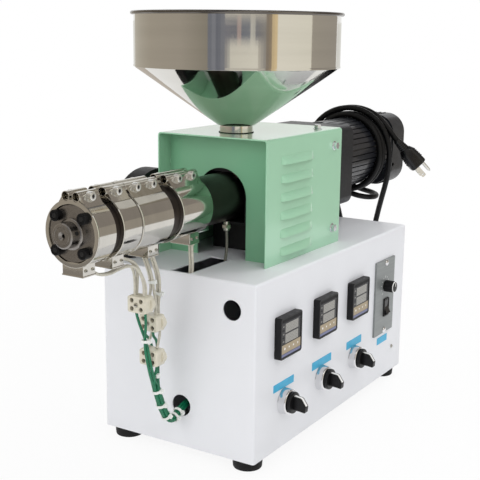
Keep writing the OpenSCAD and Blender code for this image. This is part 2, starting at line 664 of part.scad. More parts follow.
// The probe's lead is counted from the foot of its rod
probe_route = [[0, 0, 0], [0, -0.5, -9], [-0.5, -1, -18], [-1.5, -1, -27], [-3, -0.5, -36], [-5, 0, -49]];
block_place = [[-64, 104, 183], [-42, 106, 157], [-42, 106, 118]];
motor_lead_route = [[388, 104, 247.5], [388, 104, 240], [392, 104, 231.5], [398, 104, 223.5],
  [403, 104, 215], [408, 104, 205.5], [413, 104, 195], [416, 104, 183], [417, 104, 171],
  [415, 104, 160], [409, 104, 152], [400, 104, 150], [390, 104, 150]];
riser_route = [[429, 78, 150], [443, 78, 152], [454, 77.8, 158], [462.4, 77, 168], [466.6, 75.5, 181],
  [466.6, 72.5, 196], [464, 68, 212], [459, 62, 229], [453, 55.5, 246], [447, 49.8, 262], [442, 46, 277],
  [438, 44, 291], [435.8, 44.3, 304.5], [434.6, 47.2, 317]];
tail_route = [[435.4, 132.4, 247.3], [435.5, 119, 240.4], [436.7, 105, 234.9], [441.6, 93.5, 230.9],
  [450, 85.1, 228.4], [460.7, 80.2, 227], [472.5, 79.1, 226.4], [483.9, 82.2, 226.4], [493.5, 89, 226.8],
  [500.3, 98.6, 227.6], [503.4, 110.5, 229], [503.2, 123, 231.8], [500.3, 135.5, 236.8],
  [495.5, 147.5, 244.8], [489.5, 157, 257], [482.5, 163, 272.5], [474.5, 165, 289.5], [466, 164.5, 307],
  [458.5, 160, 323.5], [452.5, 150.5, 339], [448.8, 137, 351], [446.5, 119, 357.5], [446, 100, 358.5],
  [446, 82, 354.5], [446, 66.5, 346], [446.5, 54.5, 334.5], [448, 45.5, 323.5], [450, 37.8, 313.6]];
plug_dir = unit([18, -22, -30]);

// Leads from the heaters, terminal blocks and the bundle into the cabinet
module heater_lead_1() placed() color("beige") tube(lead_1_route, lead_d);
module heater_lead_2() placed() color("beige") tube(lead_2_route, lead_d);
module heater_lead_3() placed() color("beige") tube(lead_3_route, lead_d);
module heater_lead_4() placed() color("beige") tube(lead_4_route, lead_d);
module green_pair_1() placed() color("seagreen") tube(green_1_route, lead_d);
module green_pair_2() placed() color("seagreen") tube(green_2_route, lead_d);
module wire_bundle() placed() color("seagreen") tube(bundle_route, bundle_d);
terminal_hole_r = 2;
terminal_hole_l = 6;
module terminal_block(i) placed() color("beige") translate(block_place[i]) difference() {
  block([-block_d / 2, -block_w / 2, -block_h / 2], [block_d / 2, block_w / 2, block_h / 2]);
  for (y = [-1, 1], z = [-1, 1])
    rod_x(-block_d / 2 - cut, y * block_w / 4, z * block_h / 4, terminal_hole_r, terminal_hole_l + cut);
}
module terminal_block_1() terminal_block(0);
module terminal_block_2() terminal_block(1);
module terminal_block_3() terminal_block(2);
// Temperature probe under the barrel, in front of the hood's recessed panel
probe_r = 4;
probe_l = 9;
probe_gap = 7;
probe_side = 12;
probe_x = hood_x + hood_recess - probe_gap;
probe_z = screw_z - sqrt(pow(barrel_r, 2) - pow(probe_side - probe_r, 2)) - seat_gap - probe_l;
module thermocouple() placed() color("silver")
  translate([probe_x, mid_y - probe_side, probe_z]) {
    cylinder(r = probe_r, h = probe_l);
    tube(probe_route, probe_d);
  }
module motor_lead() placed() color("black") tube(motor_lead_route, motor_lead_d);

// Mains cord: gland, riser, coil around the motor, tail and plug
gland_y = 78;
gland_z = 150;
gland_r = 7;
gland_l = 25;
gland_in_l = 6;
gland_nut_l = 4;
gland_nut_w = 4;
gland_nut_taper = 1;
relief_t = 1;
coil_gap = 0.8;
coil_r = body_r + coil_gap;
coil_mid_x = cabinet_l + coil_x;
coil_z = motor_z + seat_gap - coil_gap;
module cord_gland() placed() color("black") {
  rod_x(cabinet_l - cabinet_t - gland_in_l, gland_y, gland_z, gland_r, cabinet_t + gland_in_l);
  translate([cabinet_l, gland_y, gland_z]) rotate([0, 90, 0])
    cylinder(r1 = gland_r + gland_nut_w, r2 = gland_r + gland_nut_w - gland_nut_taper, h = gland_nut_l);
  translate([cabinet_l + gland_nut_l, gland_y, gland_z]) rotate([0, 90, 0])
    cylinder(r1 = gland_r, r2 = cord_d / 2 + relief_t, h = gland_l - gland_nut_l);
}
module cord_riser() placed() color("black") tube(riser_route, cord_d, 10);
module cord_coil() placed() color("black") translate([coil_mid_x, mid_y, coil_z]) rotate([0, 90, 0])
  rotate_extrude($fn = 72) translate([coil_r, -coil_w / 2]) square([coil_t, coil_w]);
module cord_tail() placed() color("black") tube(tail_route, cord_d, 10);
// Plug: strain relief, body, two flat blades and a round earth pin
plug_relief_l = 16;
plug_relief_t = 3;
plug_l = 47;
plug_w = 22;
plug_t = 25;
plug_corner_r = 7;
blade_l = 17;
blade_w = 6.4;
blade_t = 1.5;
blade_spread = 12.7;
blade_aside = 4.5;
pin_aside = 7;
earth_pin_r = 2.4;
earth_pin_l = 19;
plug_back = tail_route[len(tail_route) - 1];
plug_turn = atan2(plug_dir[1], plug_dir[0]);
plug_tip = acos(plug_dir[2]);
module plug() placed() color("black") translate(plug_back) rotate([0, plug_tip, plug_turn]) {
  cylinder(r1 = cord_d / 2 + relief_t, r2 = cord_d / 2 + plug_relief_t, h = plug_relief_l);
  translate([0, 0, plug_relief_l]) linear_extrude(plug_l - plug_relief_l)
    rounded_square(plug_t, plug_w, plug_corner_r);
  for (s = [-1, 1]) translate([blade_aside - blade_w / 2, (s * blade_spread - blade_t) / 2, plug_l])
    cube([blade_w, blade_t, blade_l]);
  translate([-pin_aside, 0, plug_l]) cylinder(r = earth_pin_r, h = earth_pin_l);
}

cabinet_top();
control_panel();
cabinet_back_panel();
cabinet_nozzle_end();
cabinet_motor_end();
cabinet_base();
rubber_feet();
hood_top();
hood_near_side();
hood_far_side();
hood_front_panel();
hood_rear_panel();
hopper_band();
hopper_cone();
barrel();
die_head();
nozzle();
band_heater_1();
band_heater_2();
band_heater_3();
band_heater_4();
feed_block();
bearing_housing();
extruder_screw();
gear_head();
motor_body();
fan_cowl();
temperature_controller_1();
temperature_controller_2();
temperature_controller_3();
selector_base_1();
selector_base_2();
selector_base_3();
selector_knob_1();
selector_knob_2();
selector_knob_3();
speed_plate();
speed_knob();
rocker_frame();
rocker();
blower();
heater_lead_1();
heater_lead_2();
heater_lead_3();
heater_lead_4();
terminal_block_1();
terminal_block_2();
terminal_block_3();
green_pair_1();
green_pair_2();
wire_bundle();
thermocouple();
motor_lead();
cord_gland();
cord_riser();
cord_coil();
cord_tail();
plug();
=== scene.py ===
"""Looks of a desktop filament extruder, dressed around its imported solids.

Lengths are millimetres, counted from the cabinet's lower corner at the nozzle end of the control panel.
Only the studio, at the end, is in the frame's metres.
"""
from itertools import product
from math import acos, cos, pi, radians, sin

import bmesh
import bpy
from mathutils import Matrix, Vector


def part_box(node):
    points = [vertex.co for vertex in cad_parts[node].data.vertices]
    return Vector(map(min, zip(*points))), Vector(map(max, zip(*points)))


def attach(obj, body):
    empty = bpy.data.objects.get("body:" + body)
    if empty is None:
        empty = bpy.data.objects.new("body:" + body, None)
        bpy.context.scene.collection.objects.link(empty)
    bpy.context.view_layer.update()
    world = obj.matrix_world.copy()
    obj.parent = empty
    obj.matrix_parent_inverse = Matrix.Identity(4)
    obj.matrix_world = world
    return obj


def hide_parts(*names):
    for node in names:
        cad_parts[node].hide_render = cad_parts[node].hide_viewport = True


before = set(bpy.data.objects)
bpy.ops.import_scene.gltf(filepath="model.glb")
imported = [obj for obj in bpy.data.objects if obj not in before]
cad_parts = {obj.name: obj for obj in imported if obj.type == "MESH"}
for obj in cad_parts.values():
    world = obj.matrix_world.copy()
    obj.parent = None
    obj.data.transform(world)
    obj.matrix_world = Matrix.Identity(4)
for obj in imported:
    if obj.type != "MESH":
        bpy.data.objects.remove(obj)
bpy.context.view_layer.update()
scene = bpy.context.scene
scene.view_settings.view_transform = "Standard"

MM = 0.001
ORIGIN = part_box("cabinet_nozzle_end")[0]
TO_FRAME = Matrix.Translation(ORIGIN) @ Matrix.Scale(MM, 4)
X, Y, Z = Vector((1, 0, 0)), Vector((0, 1, 0)), Vector((0, 0, 1))
SIDES = (-1, 1)


def at(point):
    """A point in millimetres from the cabinet's corner, in the frame's metres."""
    return TO_FRAME @ Vector(point)


def span(node):
    """Lowest and highest corner of a solid, in millimetres from the cabinet's corner."""
    return [(corner - ORIGIN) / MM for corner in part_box(node)]


def middle(node):
    low, high = span(node)
    return (low + high) / 2


def put(name, data):
    """A new object in the scene."""
    made = bpy.data.objects.new(name, data)
    scene.collection.objects.link(made)
    return made


# Main lines of the machine, from the frame
CABINET = span("cabinet_motor_end")[1]
HOOD_LOW = span("hood_near_side")[0]
HOOD_LOW.y = span("hood_top")[0].y
HOOD_HIGH = span("hood_top")[1]
BARREL_LOW, BARREL_HIGH = span("barrel")
MID_Y, SCREW_Z = middle("barrel").yz
BARREL_R = (BARREL_HIGH.z - BARREL_LOW.z) / 2
MOTOR_Z = middle("motor_body").z
HOPPER_X = middle("hopper_band").x


# Camera, fitted to the photograph's edges
def add_camera():
    place = (-842.4, -505.1, 466.2)
    yaw, pitch, roll = radians(58.02), radians(-12.24), radians(0.66)
    aimed = Matrix.Rotation(-yaw, 4, "Z") @ Matrix.Rotation(pi / 2 + pitch, 4, "X")
    data = bpy.data.cameras.new("camera")
    data.sensor_width = 36
    data.lens = 72.43
    data.clip_start = 0.05
    camera = put("camera", data)
    camera.matrix_world = Matrix.Translation(at(place)) @ aimed @ Matrix.Rotation(roll, 4, "Z")
    scene.camera = camera


add_camera()


# Finishes
class Tree:
    """Shader nodes of a material or a world."""

    def __init__(self, owner):
        owner.use_nodes = True
        self.nodes, self.links = owner.node_tree.nodes, owner.node_tree.links

    def fill(self, node, inputs):
        """Gives a node's inputs their values, or links them to the outputs given."""
        for socket, value in inputs.items():
            if isinstance(value, bpy.types.NodeSocket):
                self.links.new(value, node.inputs[socket])
            else:
                node.inputs[socket].default_value = value
        return node

    def add(self, kind, inputs, **settings):
        node = self.nodes.new("ShaderNode" + kind)
        for name, value in settings.items():
            setattr(node, name, value)
        return self.fill(node, inputs)

    def ranged(self, value, from_low, from_high, low, high):
        """A value moved from one range to another."""
        limits = {"From Min": from_low, "From Max": from_high, "To Min": low, "To Max": high}
        return self.add("MapRange", {"Value": value, **limits}).outputs["Result"]


def linear(red, green, blue):
    """A colour written as 0 to 255 per channel, in linear light."""
    shares = [c / 255 for c in (red, green, blue)]
    return [c / 12.92 if c <= 0.04045 else ((c + 0.055) / 1.055) ** 2.4 for c in shares]


FINISHES = {}
ALONG_X = (1, 0.04, 0.04)
ALONG_Z = (0.04, 0.04, 1)
RELIEF = 0.0004
COAT_ROUGH = 0.10
# Most of a noise's values lie between these
NOISE = (0.3, 0.7)


def finish(name, color, rough, spread, tint, patch, grain, bump, metallic=0.0, coat=0.0, specular=0.5,
           stretch=(1, 1, 1), weave=None):
    """A finish whose colour, gloss and relief vary.

    The roughness varies by its spread and the colour by a share, tint. Patch, grain and weave are scales
    per metre; a finish with a weave has its threads as relief in place of the grain.
    """
    material = bpy.data.materials.new(name)
    FINISHES[name] = material
    tree = Tree(material)
    place = tree.add("TexCoord", {}).outputs["Object"]

    def mapped(by):
        return tree.add("Mapping", {"Vector": place, "Scale": by}).outputs["Vector"]

    grained = mapped(stretch)

    def noise(scale):
        return tree.add("TexNoise", {"Vector": grained, "Scale": scale, "Detail": 4}).outputs["Fac"]

    def varied(scale, low, high):
        return tree.ranged(noise(scale), *NOISE, low, high)

    def threads(by):
        wave = tree.add("TexWave", {"Vector": mapped(by), "Scale": weave}, bands_direction="DIAGONAL")
        return wave.outputs["Fac"]

    if weave:
        crossed = {0: threads((1, 1, 1)), 1: threads((1, 1, -1))}
        height = tree.add("Math", crossed, operation="MAXIMUM").outputs["Value"]
    else:
        height = noise(grain)
    dark, pale = ([*(min(1, c * (1 + side * tint)) for c in linear(*color)), 1] for side in SIDES)
    shade = tree.add("Mix", {0: varied(patch, 0, 1), 6: dark, 7: pale}, data_type="RGBA")
    relief = tree.add("Bump", {"Height": height, "Strength": bump, "Distance": RELIEF})
    tree.fill(tree.nodes["Principled BSDF"], {
        "Base Color": shade.outputs[2], "Metallic": metallic, "Normal": relief.outputs["Normal"],
        "Roughness": varied(patch * 3, rough - spread, rough + spread) if spread else rough,
        "Specular IOR Level": specular, "Coat Weight": coat, "Coat Roughness": COAT_ROUGH})


# Each finish: colour, roughness, its spread, tint, patch, grain, bump
finish("white_paint", (232, 233, 237), 0.42, 0.02, 0.006, 45, 1800, 0.012, coat=0.12, specular=0.3)
finish("green_paint", (160, 211, 177), 0.28, 0.0, 0.008, 45, 1800, 0.012, coat=1.0)
# Painted shade: a darker, duller copy of the hood's green for its end panels, standing for the shade on the
# hood's front
finish("shade_green", (124, 180, 143), 0.46, 0.01, 0.006, 45, 1800, 0.012, coat=0.6, specular=0.25)
finish("mirror_steel", (214, 212, 206), 0.06, 0.02, 0.05, 60, 2600, 0.010, 1.0, stretch=ALONG_Z)
# Painted reflection: a darker copy of the hopper's steel for its rolled rim, painting in the dark tone the
# rim reflects
finish("rim_reflection_steel", (112, 108, 104), 0.20, 0.03, 0.04, 60, 2400, 0.012, 1.0)
finish("band_steel", (206, 203, 196), 0.09, 0.03, 0.05, 60, 2200, 0.012, 1.0, stretch=ALONG_X)
# The barrel's own dark steel, made darker still as painted shade for the gaps between the heater bands
finish("dark_steel_and_gap_shade", (66, 60, 58), 0.34, 0.05, 0.08, 50, 2600, 0.015, 1.0)
finish("turned_steel", (146, 142, 138), 0.30, 0.06, 0.10, 160, 2400, 0.03, 1.0)
finish("black_oxide", (22, 22, 24), 0.42, 0.05, 0.2, 45, 2400, 0.05, 0.5, specular=0.3)
finish("zinc", (190, 188, 178), 0.26, 0.08, 0.12, 300, 1400, 0.05, 1.0)
finish("bolt_zinc", (218, 221, 225), 0.22, 0.05, 0.06, 300, 1400, 0.03, 1.0)
finish("chrome", (226, 226, 228), 0.06, 0.02, 0.03, 45, 1400, 0.01, 1.0)
finish("nickel", (225, 225, 222), 0.30, 0.05, 0.06, 200, 1400, 0.03, 1.0)
finish("braid", (150, 148, 142), 0.36, 0.05, 0.15, 400, 1400, 0.6, 0.9, weave=520)
finish("plate_grey", (140, 144, 144), 0.42, 0.06, 0.05, 220, 1600, 0.04, 0.3, stretch=ALONG_Z)
finish("cast_grey", (24, 24, 26), 0.50, 0.05, 0.15, 90, 700, 0.15, specular=0.3)
finish("gear_paint", (24, 26, 31), 0.44, 0.05, 0.08, 70, 1100, 0.02, coat=0.12, specular=0.22)
finish("motor_paint", (27, 29, 35), 0.42, 0.05, 0.06, 70, 1100, 0.02, coat=0.4, specular=0.25)
finish("cowl_paint", (28, 30, 35), 0.42, 0.05, 0.06, 70, 1300, 0.02, coat=0.2, specular=0.25)
finish("black_plastic", (15, 15, 17), 0.40, 0.05, 0.15, 45, 2600, 0.06, specular=0.3)
finish("blower_black", (15, 15, 17), 0.46, 0.05, 0.15, 80, 1500, 0.05, specular=0.25)
finish("gloss_black", (15, 15, 18), 0.24, 0.04, 0.15, 80, 1500, 0.02, specular=0.4)
finish("charcoal", (19, 19, 22), 0.48, 0.05, 0.08, 45, 2600, 0.03, specular=0.15)
finish("display_grey", (152, 150, 144), 0.22, 0.04, 0.08, 900, 1400, 0.02)
finish("segment_grey", (128, 126, 121), 0.24, 0.05, 0.08, 900, 1400, 0.02)
finish("window_grey", (38, 38, 41), 0.24, 0.05, 0.08, 300, 1400, 0.02, specular=0.25)
finish("tan_strip", (166, 149, 120), 0.35, 0.05, 0.06, 400, 1400, 0.04)
finish("lilac_strip", (110, 114, 150), 0.35, 0.05, 0.05, 400, 1400, 0.03)
finish("print_white", (238, 238, 236), 0.45, 0.05, 0.03, 45, 1400, 0.03)
finish("label_blue", (56, 174, 216), 0.40, 0.05, 0.06, 120, 2600, 0.04)
finish("rubber", (17, 17, 18), 0.62, 0.05, 0.2, 120, 1500, 0.15, specular=0.25)
finish("cord_rubber", (9, 9, 11), 0.44, 0.05, 0.18, 150, 1800, 0.06, specular=0.25)
finish("sleeve", (206, 202, 188), 0.72, 0.08, 0.10, 260, 1400, 0.55, weave=420)
finish("ceramic", (216, 210, 192), 0.34, 0.05, 0.06, 300, 900, 0.10, coat=0.25)
finish("green_wire", (13, 112, 77), 0.32, 0.05, 0.14, 160, 1300, 0.05)
finish("nylon", (232, 234, 230), 0.38, 0.05, 0.04, 300, 1400, 0.04)
# Painted shade: near black for the insides of sockets, screw slots and holes, and for the dark plugs that
# close them
finish("hole_shade", (14, 14, 15), 0.7, 0.05, 0.3, 45, 1400, 0.1)


# Cords and wires
def smooth(points, step=3.0):
    """Points about a step apart on a smooth curve through the given ones."""
    points = [Vector(p) for p in points]
    ends = [2 * points[0] - points[1], *points, 2 * points[-1] - points[-2]]
    line = []
    for a, b, c, d in zip(ends, ends[1:], ends[2:], ends[3:]):
        count = max(1, round((c - b).length / step))
        for t in (k / count for k in range(count)):
            line.append((2 * b + (c - a) * t + (2 * a - 5 * b + 4 * c - d) * t ** 2
                         + (3 * b - a - 3 * c + d) * t ** 3) / 2)
    return line + [points[-1]]


def headings(line):
    last = len(line) - 1
    return [(line[min(i + 1, last)] - line[max(i - 1, 0)]).normalized() for i in range(last + 1)]


def strand(route, start, end, begin, until):
    """One wire of a group along a route: its place across the route goes from start to end."""
    line = smooth(route)
    beside = []
    for i, (p, heading) in enumerate(zip(line, headings(line))):
        side = (Y - heading * heading.y).normalized()
        share = min(1, max(0, (i / (len(line) - 1) - begin) / (until - begin)))
        share = share * share * (3 - 2 * share)
        aside, above = (s + (e - s) * share for s, e in zip(start, end))
        beside.append(p + side * aside + heading.cross(side) * above)
    return beside


def add_cord(name, line, diameter, look, replaces=()):
    data = bpy.data.curves.new(name, "CURVE")
    data.dimensions = "3D"
    data.bevel_depth = diameter / 2 * MM
    data.bevel_resolution = 3
    data.use_fill_caps = True
    data.materials.append(FINISHES[look])
    spline = data.splines.new("POLY")
    spline.points.add(len(line) - 1)
    for knot, p in zip(spline.points, line):
        knot.co = (*at(p), 1)
    cord = put(name, data)
    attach(cord, "machine")
    if replaces:
        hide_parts(*replaces)


ROUTE_A = [(-151, 104, 239), (-142, 103, 236), (-132, 102, 231), (-118, 102, 229), (-102, 103, 230),
           (-86, 104, 230), (-74, 104, 226), (-67, 104, 216), (-64, 104, 204), (-64, 104, 192)]
ROUTE_B = [(-107, 104, 241), (-98, 104, 238), (-87, 104, 234), (-76, 104, 228), (-68, 104, 217),
           (-64, 104, 204), (-64, 104, 192)]
ROUTE_C = [(-53, 109, 234), (-48, 108, 224), (-43, 107, 210), (-41, 106, 196), (-41, 106, 181),
           (-42, 106, 166)]
ROUTE_D = [(17, 96, 234), (16, 95, 224), (14, 93, 213), (12, 92, 203), (11, 92, 192), (12, 93, 180)]
ROUTE_E = [(-52, 98, 234), (-45, 99, 222), (-37, 101, 206), (-31, 105, 190), (-28, 109, 172),
           (-28, 110, 156), (-31, 109, 142), (-37, 107, 134), (-41, 106, 127)]
GREEN_1 = [(-64, 104, 174), (-62, 103, 160), (-60, 102, 146), (-58, 101, 132), (-56, 100, 118),
           (-52, 100, 104), (-46, 101, 91), (-38, 103, 79)]
GREEN_2 = [(-42, 111, 148), (-38, 113, 140), (-31, 114, 132), (-28, 114, 120), (-28, 113, 108),
           (-31, 110, 97), (-35, 107, 87), (-37, 104, 77)]
BUNDLE = [(-42, 106, 109), (-41, 105, 96), (-38, 104, 82), (-35, 102, 68), (-31, 100, 54), (-25, 98, 43),
          (-16, 97, 39), (-6, 97, 43), (4, 97, 47), (16, 97, 49)]
PROBE = [(0, 0, 0), (0, -0.5, -9), (-0.5, -1, -18), (-1.5, -1, -27), (-3, -0.5, -36), (-5, 0, -49)]
MOTOR_LEAD = [(388, 104, 247.5), (388, 104, 240), (392, 104, 231.5), (398, 104, 223.5), (403, 104, 215),
              (408, 104, 205.5), (413, 104, 195), (416, 104, 183), (417, 104, 171), (415, 104, 160),
              (409, 104, 152), (400, 104, 150), (390, 104, 150)]
RISER = [(429, 78, 150), (443, 78, 152), (454, 77.8, 158), (462.4, 77, 168), (466.6, 75.5, 181),
         (466.6, 72.5, 196), (464, 68, 212), (459, 62, 229), (453, 55.5, 246), (447, 49.8, 262),
         (442, 46, 277), (438, 44, 291), (435.8, 44.3, 304.5), (434.6, 47.2, 317)]
TAIL = [(435.4, 132.4, 247.3), (435.5, 119, 240.4), (436.7, 105, 234.9), (441.6, 93.5, 230.9),
        (450, 85.1, 228.4), (460.7, 80.2, 227), (472.5, 79.1, 226.4), (483.9, 82.2, 226.4),
        (493.5, 89, 226.8), (500.3, 98.6, 227.6), (503.4, 110.5, 229), (503.2, 123, 231.8),
        (500.3, 135.5, 236.8), (495.5, 147.5, 244.8), (489.5, 157, 257), (482.5, 163, 272.5),
        (474.5, 165, 289.5), (466, 164.5, 307), (458.5, 160, 323.5), (452.5, 150.5, 339), (448.8, 137, 351),
        (446.5, 119, 357.5), (446, 100, 358.5), (446, 82, 354.5), (446, 66.5, 346), (446.5, 54.5, 334.5),
        (448, 45.5, 323.5), (450, 37.8, 313.6)]
# Turns of the mains cord around the motor: angle, place along the motor from the coil's middle, radius
COIL = [(20, 10.6, 60.4), (60, 7, 62.4), (110, 0, 62.8), (160, -6.5, 61), (200, -9.5, 57), (235, -10, 54.2),
        (380, -6, 54), (560, -0.5, 54), (740, 4.5, 54.2), (900, 9.5, 54.8), (960, 11.4, 56.8)]
LEAD_D = 3.0
WIRE_D = 3.1
CORD_D = 8.0
MOTOR_LEAD_D = 6.0
PROBE_LEAD_D = 3.6
PAIR = 1.7
HOLE_PITCH = 6.0


def add_leads(blocks):
    """Sleeved pairs from the heaters' boxes to the terminal blocks and into the slot."""
    groups = (("lead_a", ROUTE_A, -PAIR, HOLE_PITCH, ["heater_lead_1"], blocks[:1]),
              ("lead_b", ROUTE_B, PAIR, HOLE_PITCH, (), ()),
              ("lead_c", ROUTE_C, 0, HOLE_PITCH, ["heater_lead_2"], blocks[1:2]),
              ("lead_d", ROUTE_D, 0, PAIR, ["heater_lead_3"], ()),
              ("lead_e", ROUTE_E, 0, HOLE_PITCH, ["heater_lead_4"], blocks[2:]))
    for name, route, above, apart, node, block in groups:
        for number, side in enumerate(SIDES, 1):
            line = strand(route, (side * PAIR, above), (side * apart, above), 0.55, 0.95)
            first = number == 1
            add_cord(f"{name}_{number}", line, LEAD_D, "sleeve", node if first else ())


def add_green_wires():
    """Six green wires into the cabinet; each pair joins the bundle after its share of the way."""
    groups = ((GREEN_1 + BUNDLE[3:], "green_pair_1", 0.27), (GREEN_2 + BUNDLE[3:], "green_pair_2", 0.4),
              (BUNDLE, "wire_bundle", 0.2))
    for number, ((route, node, meet), side) in enumerate(product(groups, SIDES)):
        turn = radians(60 * number + 15)
        end = (WIRE_D * cos(turn), WIRE_D * sin(turn))
        line = strand(route, (side * HOLE_PITCH, 0), end, 0.0, meet)
        add_cord(f"green_wire_{number + 1}", line, WIRE_D, "green_wire",
                 [node] if side < 0 else ())


def coil_line():
    """The mains cord around the motor; its first turn crosses over the others at the top."""
    mid = middle("cord_coil")
    turned = [(along, r, radians(turn)) for turn, along, r in smooth(COIL, 6)[1:-1]]
    return [mid + Vector((along, -r * cos(t), r * sin(t))) for along, r, t in turned]


add_green_wires()
add_cord("motor_cable", smooth(MOTOR_LEAD), MOTOR_LEAD_D, "cord_rubber", ["motor_lead"])


# Meshes
def across(direction):
    """Two unit vectors square to a direction and to each other; for -Y they are X and Z."""
    d = Vector(direction).normalized()
    u = (Z if abs(d.z) < 0.9 else X).cross(d).normalized()
    return u, d.cross(u)


def turns(count, start=0.0):
    """Angles evenly round a circle."""
    return [start + 2 * pi * k / count for k in range(count)]


def circle(r, sides=32, start=0.0):
    return [(r * cos(t), r * sin(t)) for t in turns(sides, start)]


def rounded(w, h, r, steps=5):
    """Outline of a rectangle with round corners, about its middle."""
    points = []
    for k, (sx, sy) in enumerate(((1, 1), (-1, 1), (-1, -1), (1, -1))):
        for i in range(steps + 1):
            t = radians(90 * k + 90 * i / steps)
            points.append((sx * (w / 2 - r) + r * cos(t), sy * (h / 2 - r) + r * sin(t)))
    return points


# Edges that turn more than this stay sharp
SHARP = radians(38)


class Shape:
    """A mesh under construction."""

    def __init__(self, look):
        self.bm = bmesh.new()
        self.looks = [look]
        self.index = 0

    def use(self, look):
        """The faces made next take this finish."""
        if look not in self.looks:
            self.looks.append(look)
        self.index = self.looks.index(look)
        return self

    def face(self, verts):
        made = self.bm.faces.new(verts)
        made.material_index = self.index
        return made

    def round_off(self, faces, bevel, segments):
        edges = list({e for f in faces for e in f.edges})
        bmesh.ops.bevel(self.bm, geom=edges, offset=bevel, offset_type="OFFSET", segments=segments,
                        profile=0.5, affect="EDGES", clamp_overlap=True, material=-1)

    def loft(self, rings, loop=False, caps=True, bevel=0.0, segments=2):
        """A skin over rings of points, closed into a ring where loop is set; bevel rounds its end rims."""
        rows = [[self.bm.verts.new(p) for p in ring] for ring in rings]
        count = len(rows[0])
        for a, b in zip(rows, rows[1:] + rows[:1] if loop else rows[1:]):
            for i in range(count):
                j = (i + 1) % count
                self.face((a[i], a[j], b[j], b[i]))
        if caps and not loop:
            ends = [self.face(rows[0][::-1]), self.face(rows[-1])]
            if bevel:
                self.round_off(ends, bevel, segments)
        return self

    def lathe(self, origin, direction, profile, sides=48, loop=False, caps=True):
        """A profile of (along, radius) turned about a direction."""
        d = Vector(direction).normalized()
        u, v = across(d)
        return self.loft([[Vector(origin) + d * along + (u * cos(t) + v * sin(t)) * r for t in turns(sides)]
                          for along, r in profile], loop, caps)

    def prism(self, origin, direction, outline, depth, bevel=0.0, segments=2):
        """An outline square to a direction, pushed along it, with its two rims rounded off."""
        d = Vector(direction).normalized()
        u, v = across(d)
        base = [Vector(origin) + u * a + v * b for a, b in outline]
        return self.slab(base, Vector(), d * depth, bevel, segments)

    def slab(self, corners, low, high, bevel=0.0, segments=2):
        """A plate between two moved copies of its corners."""
        rings = [[p + way for p in corners] for way in (low, high)]
        return self.loft(rings, bevel=bevel, segments=segments)

    def box(self, low, high, bevel=0.0, segments=2):
        low, high = Vector(low), Vector(high)
        place = Matrix.Translation((low + high) / 2) @ Matrix.Diagonal((*(high - low), 1))
        made = bmesh.ops.create_cube(self.bm, size=1, matrix=place)
        faces = list({f for v in made["verts"] for f in v.link_faces})
        for f in faces:
            f.material_index = self.index
        if bevel:
            self.round_off(faces, bevel, segments)
        return self

    def sweep(self, points, radius, sides=12, loop=False):
        """A round bar along points."""
        points = [Vector(p) for p in points]
        ways = headings(points)
        if loop:
            count = len(points)
            ways = [(points[(i + 1) % count] - points[i - 1]).normalized() for i in range(count)]
        side = across(ways[0])[0]
        rings = []
        for p, way in zip(points, ways):
            side = (side - way * side.dot(way)).normalized()
            up = way.cross(side)
            rings.append([p + side * a + up * b for a, b in circle(radius, sides)])
        return self.loft(rings, loop)

    def mesh(self, name):
        made = bpy.data.meshes.new(name)
        self.bm.to_mesh(made)
        return made

    def carve(self, cutter):
        """Cuts another shape out of this one."""
        both = []
        for part in (self, cutter):
            bmesh.ops.recalc_face_normals(part.bm, faces=part.bm.faces)
            both.append(put("spare", part.mesh("spare")))
        step = both[0].modifiers.new("cut", "BOOLEAN")
        step.object = both[1]
        step.operation = "DIFFERENCE"
        step.solver = "EXACT"
        cut = bpy.data.meshes.new_from_object(both[0].evaluated_get(bpy.context.evaluated_depsgraph_get()))
        self.bm.clear()
        self.bm.from_mesh(cut)
        for mesh in (both[0].data, both[1].data, cut):
            bpy.data.meshes.remove(mesh)
        return self

    def piece(self, name, slot, *solids, body="machine"):
        """The finished object, riding on a body and standing for the solids named."""
        bmesh.ops.remove_doubles(self.bm, verts=self.bm.verts, dist=1e-4)
        bmesh.ops.recalc_face_normals(self.bm, faces=self.bm.faces)
        for f in self.bm.faces:
            f.smooth = True
        for e in self.bm.edges:
            e.smooth = len(e.link_faces) == 2 and e.calc_face_angle() < SHARP
        bmesh.ops.transform(self.bm, matrix=TO_FRAME, verts=self.bm.verts)
        made = put(name, self.mesh(name))
        self.bm.free()
        for look in self.looks:
            made.data.materials.append(FINISHES[look])
        made.modifiers.new("even_normals", "WEIGHTED_NORMAL").keep_sharp = True
        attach(made, body)
        if solids:
            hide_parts(*solids)
        return made


# Solids that keep their own shape: finish, and width of their eased edges
# The hood's end panels take a darker green that paints in shade.
DRESSED = {"cabinet_base": ("white_paint", 0), "hood_front_panel": ("shade_green", 0.4),
           "hood_rear_panel": ("shade_green", 0.4), "barrel": ("dark_steel_and_gap_shade", 0),
           "extruder_screw": ("dark_steel_and_gap_shade", 0), "bearing_housing": ("cast_grey", 1.2),
           "gear_head": ("gear_paint", 1.2), "fan_cowl": ("cowl_paint", 1.4),
           "rocker": ("gloss_black", 0.5)}


def dress(node, look, bevel):
    """Gives a solid its finish and eases its edges."""
    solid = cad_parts[node]
    solid.data.materials.clear()
    solid.data.materials.append(FINISHES[look])
    if bevel:
        ease = solid.modifiers.new("eased_edges", "BEVEL")
        ease.width = bevel * MM
        ease.segments = 2
        ease.limit_method = "ANGLE"
        ease.angle_limit = radians(40)


def add_blades(shape, hub, axis, count, reach, deep, half, lean=0.0):
    """Fan blades round a hub, between two radii, as deep as said along the axis and twice half thick."""
    u, v = across(axis)
    for t in turns(count):
        away, twist = u * cos(t) + v * sin(t), v * cos(t) - u * sin(t)
        root, tip = hub + away * reach[0], hub + away * reach[1] + twist * lean
        blade = [root, tip, tip + axis * deep, root + axis * deep]
        shape.slab(blade, twist * half, twist * -half)


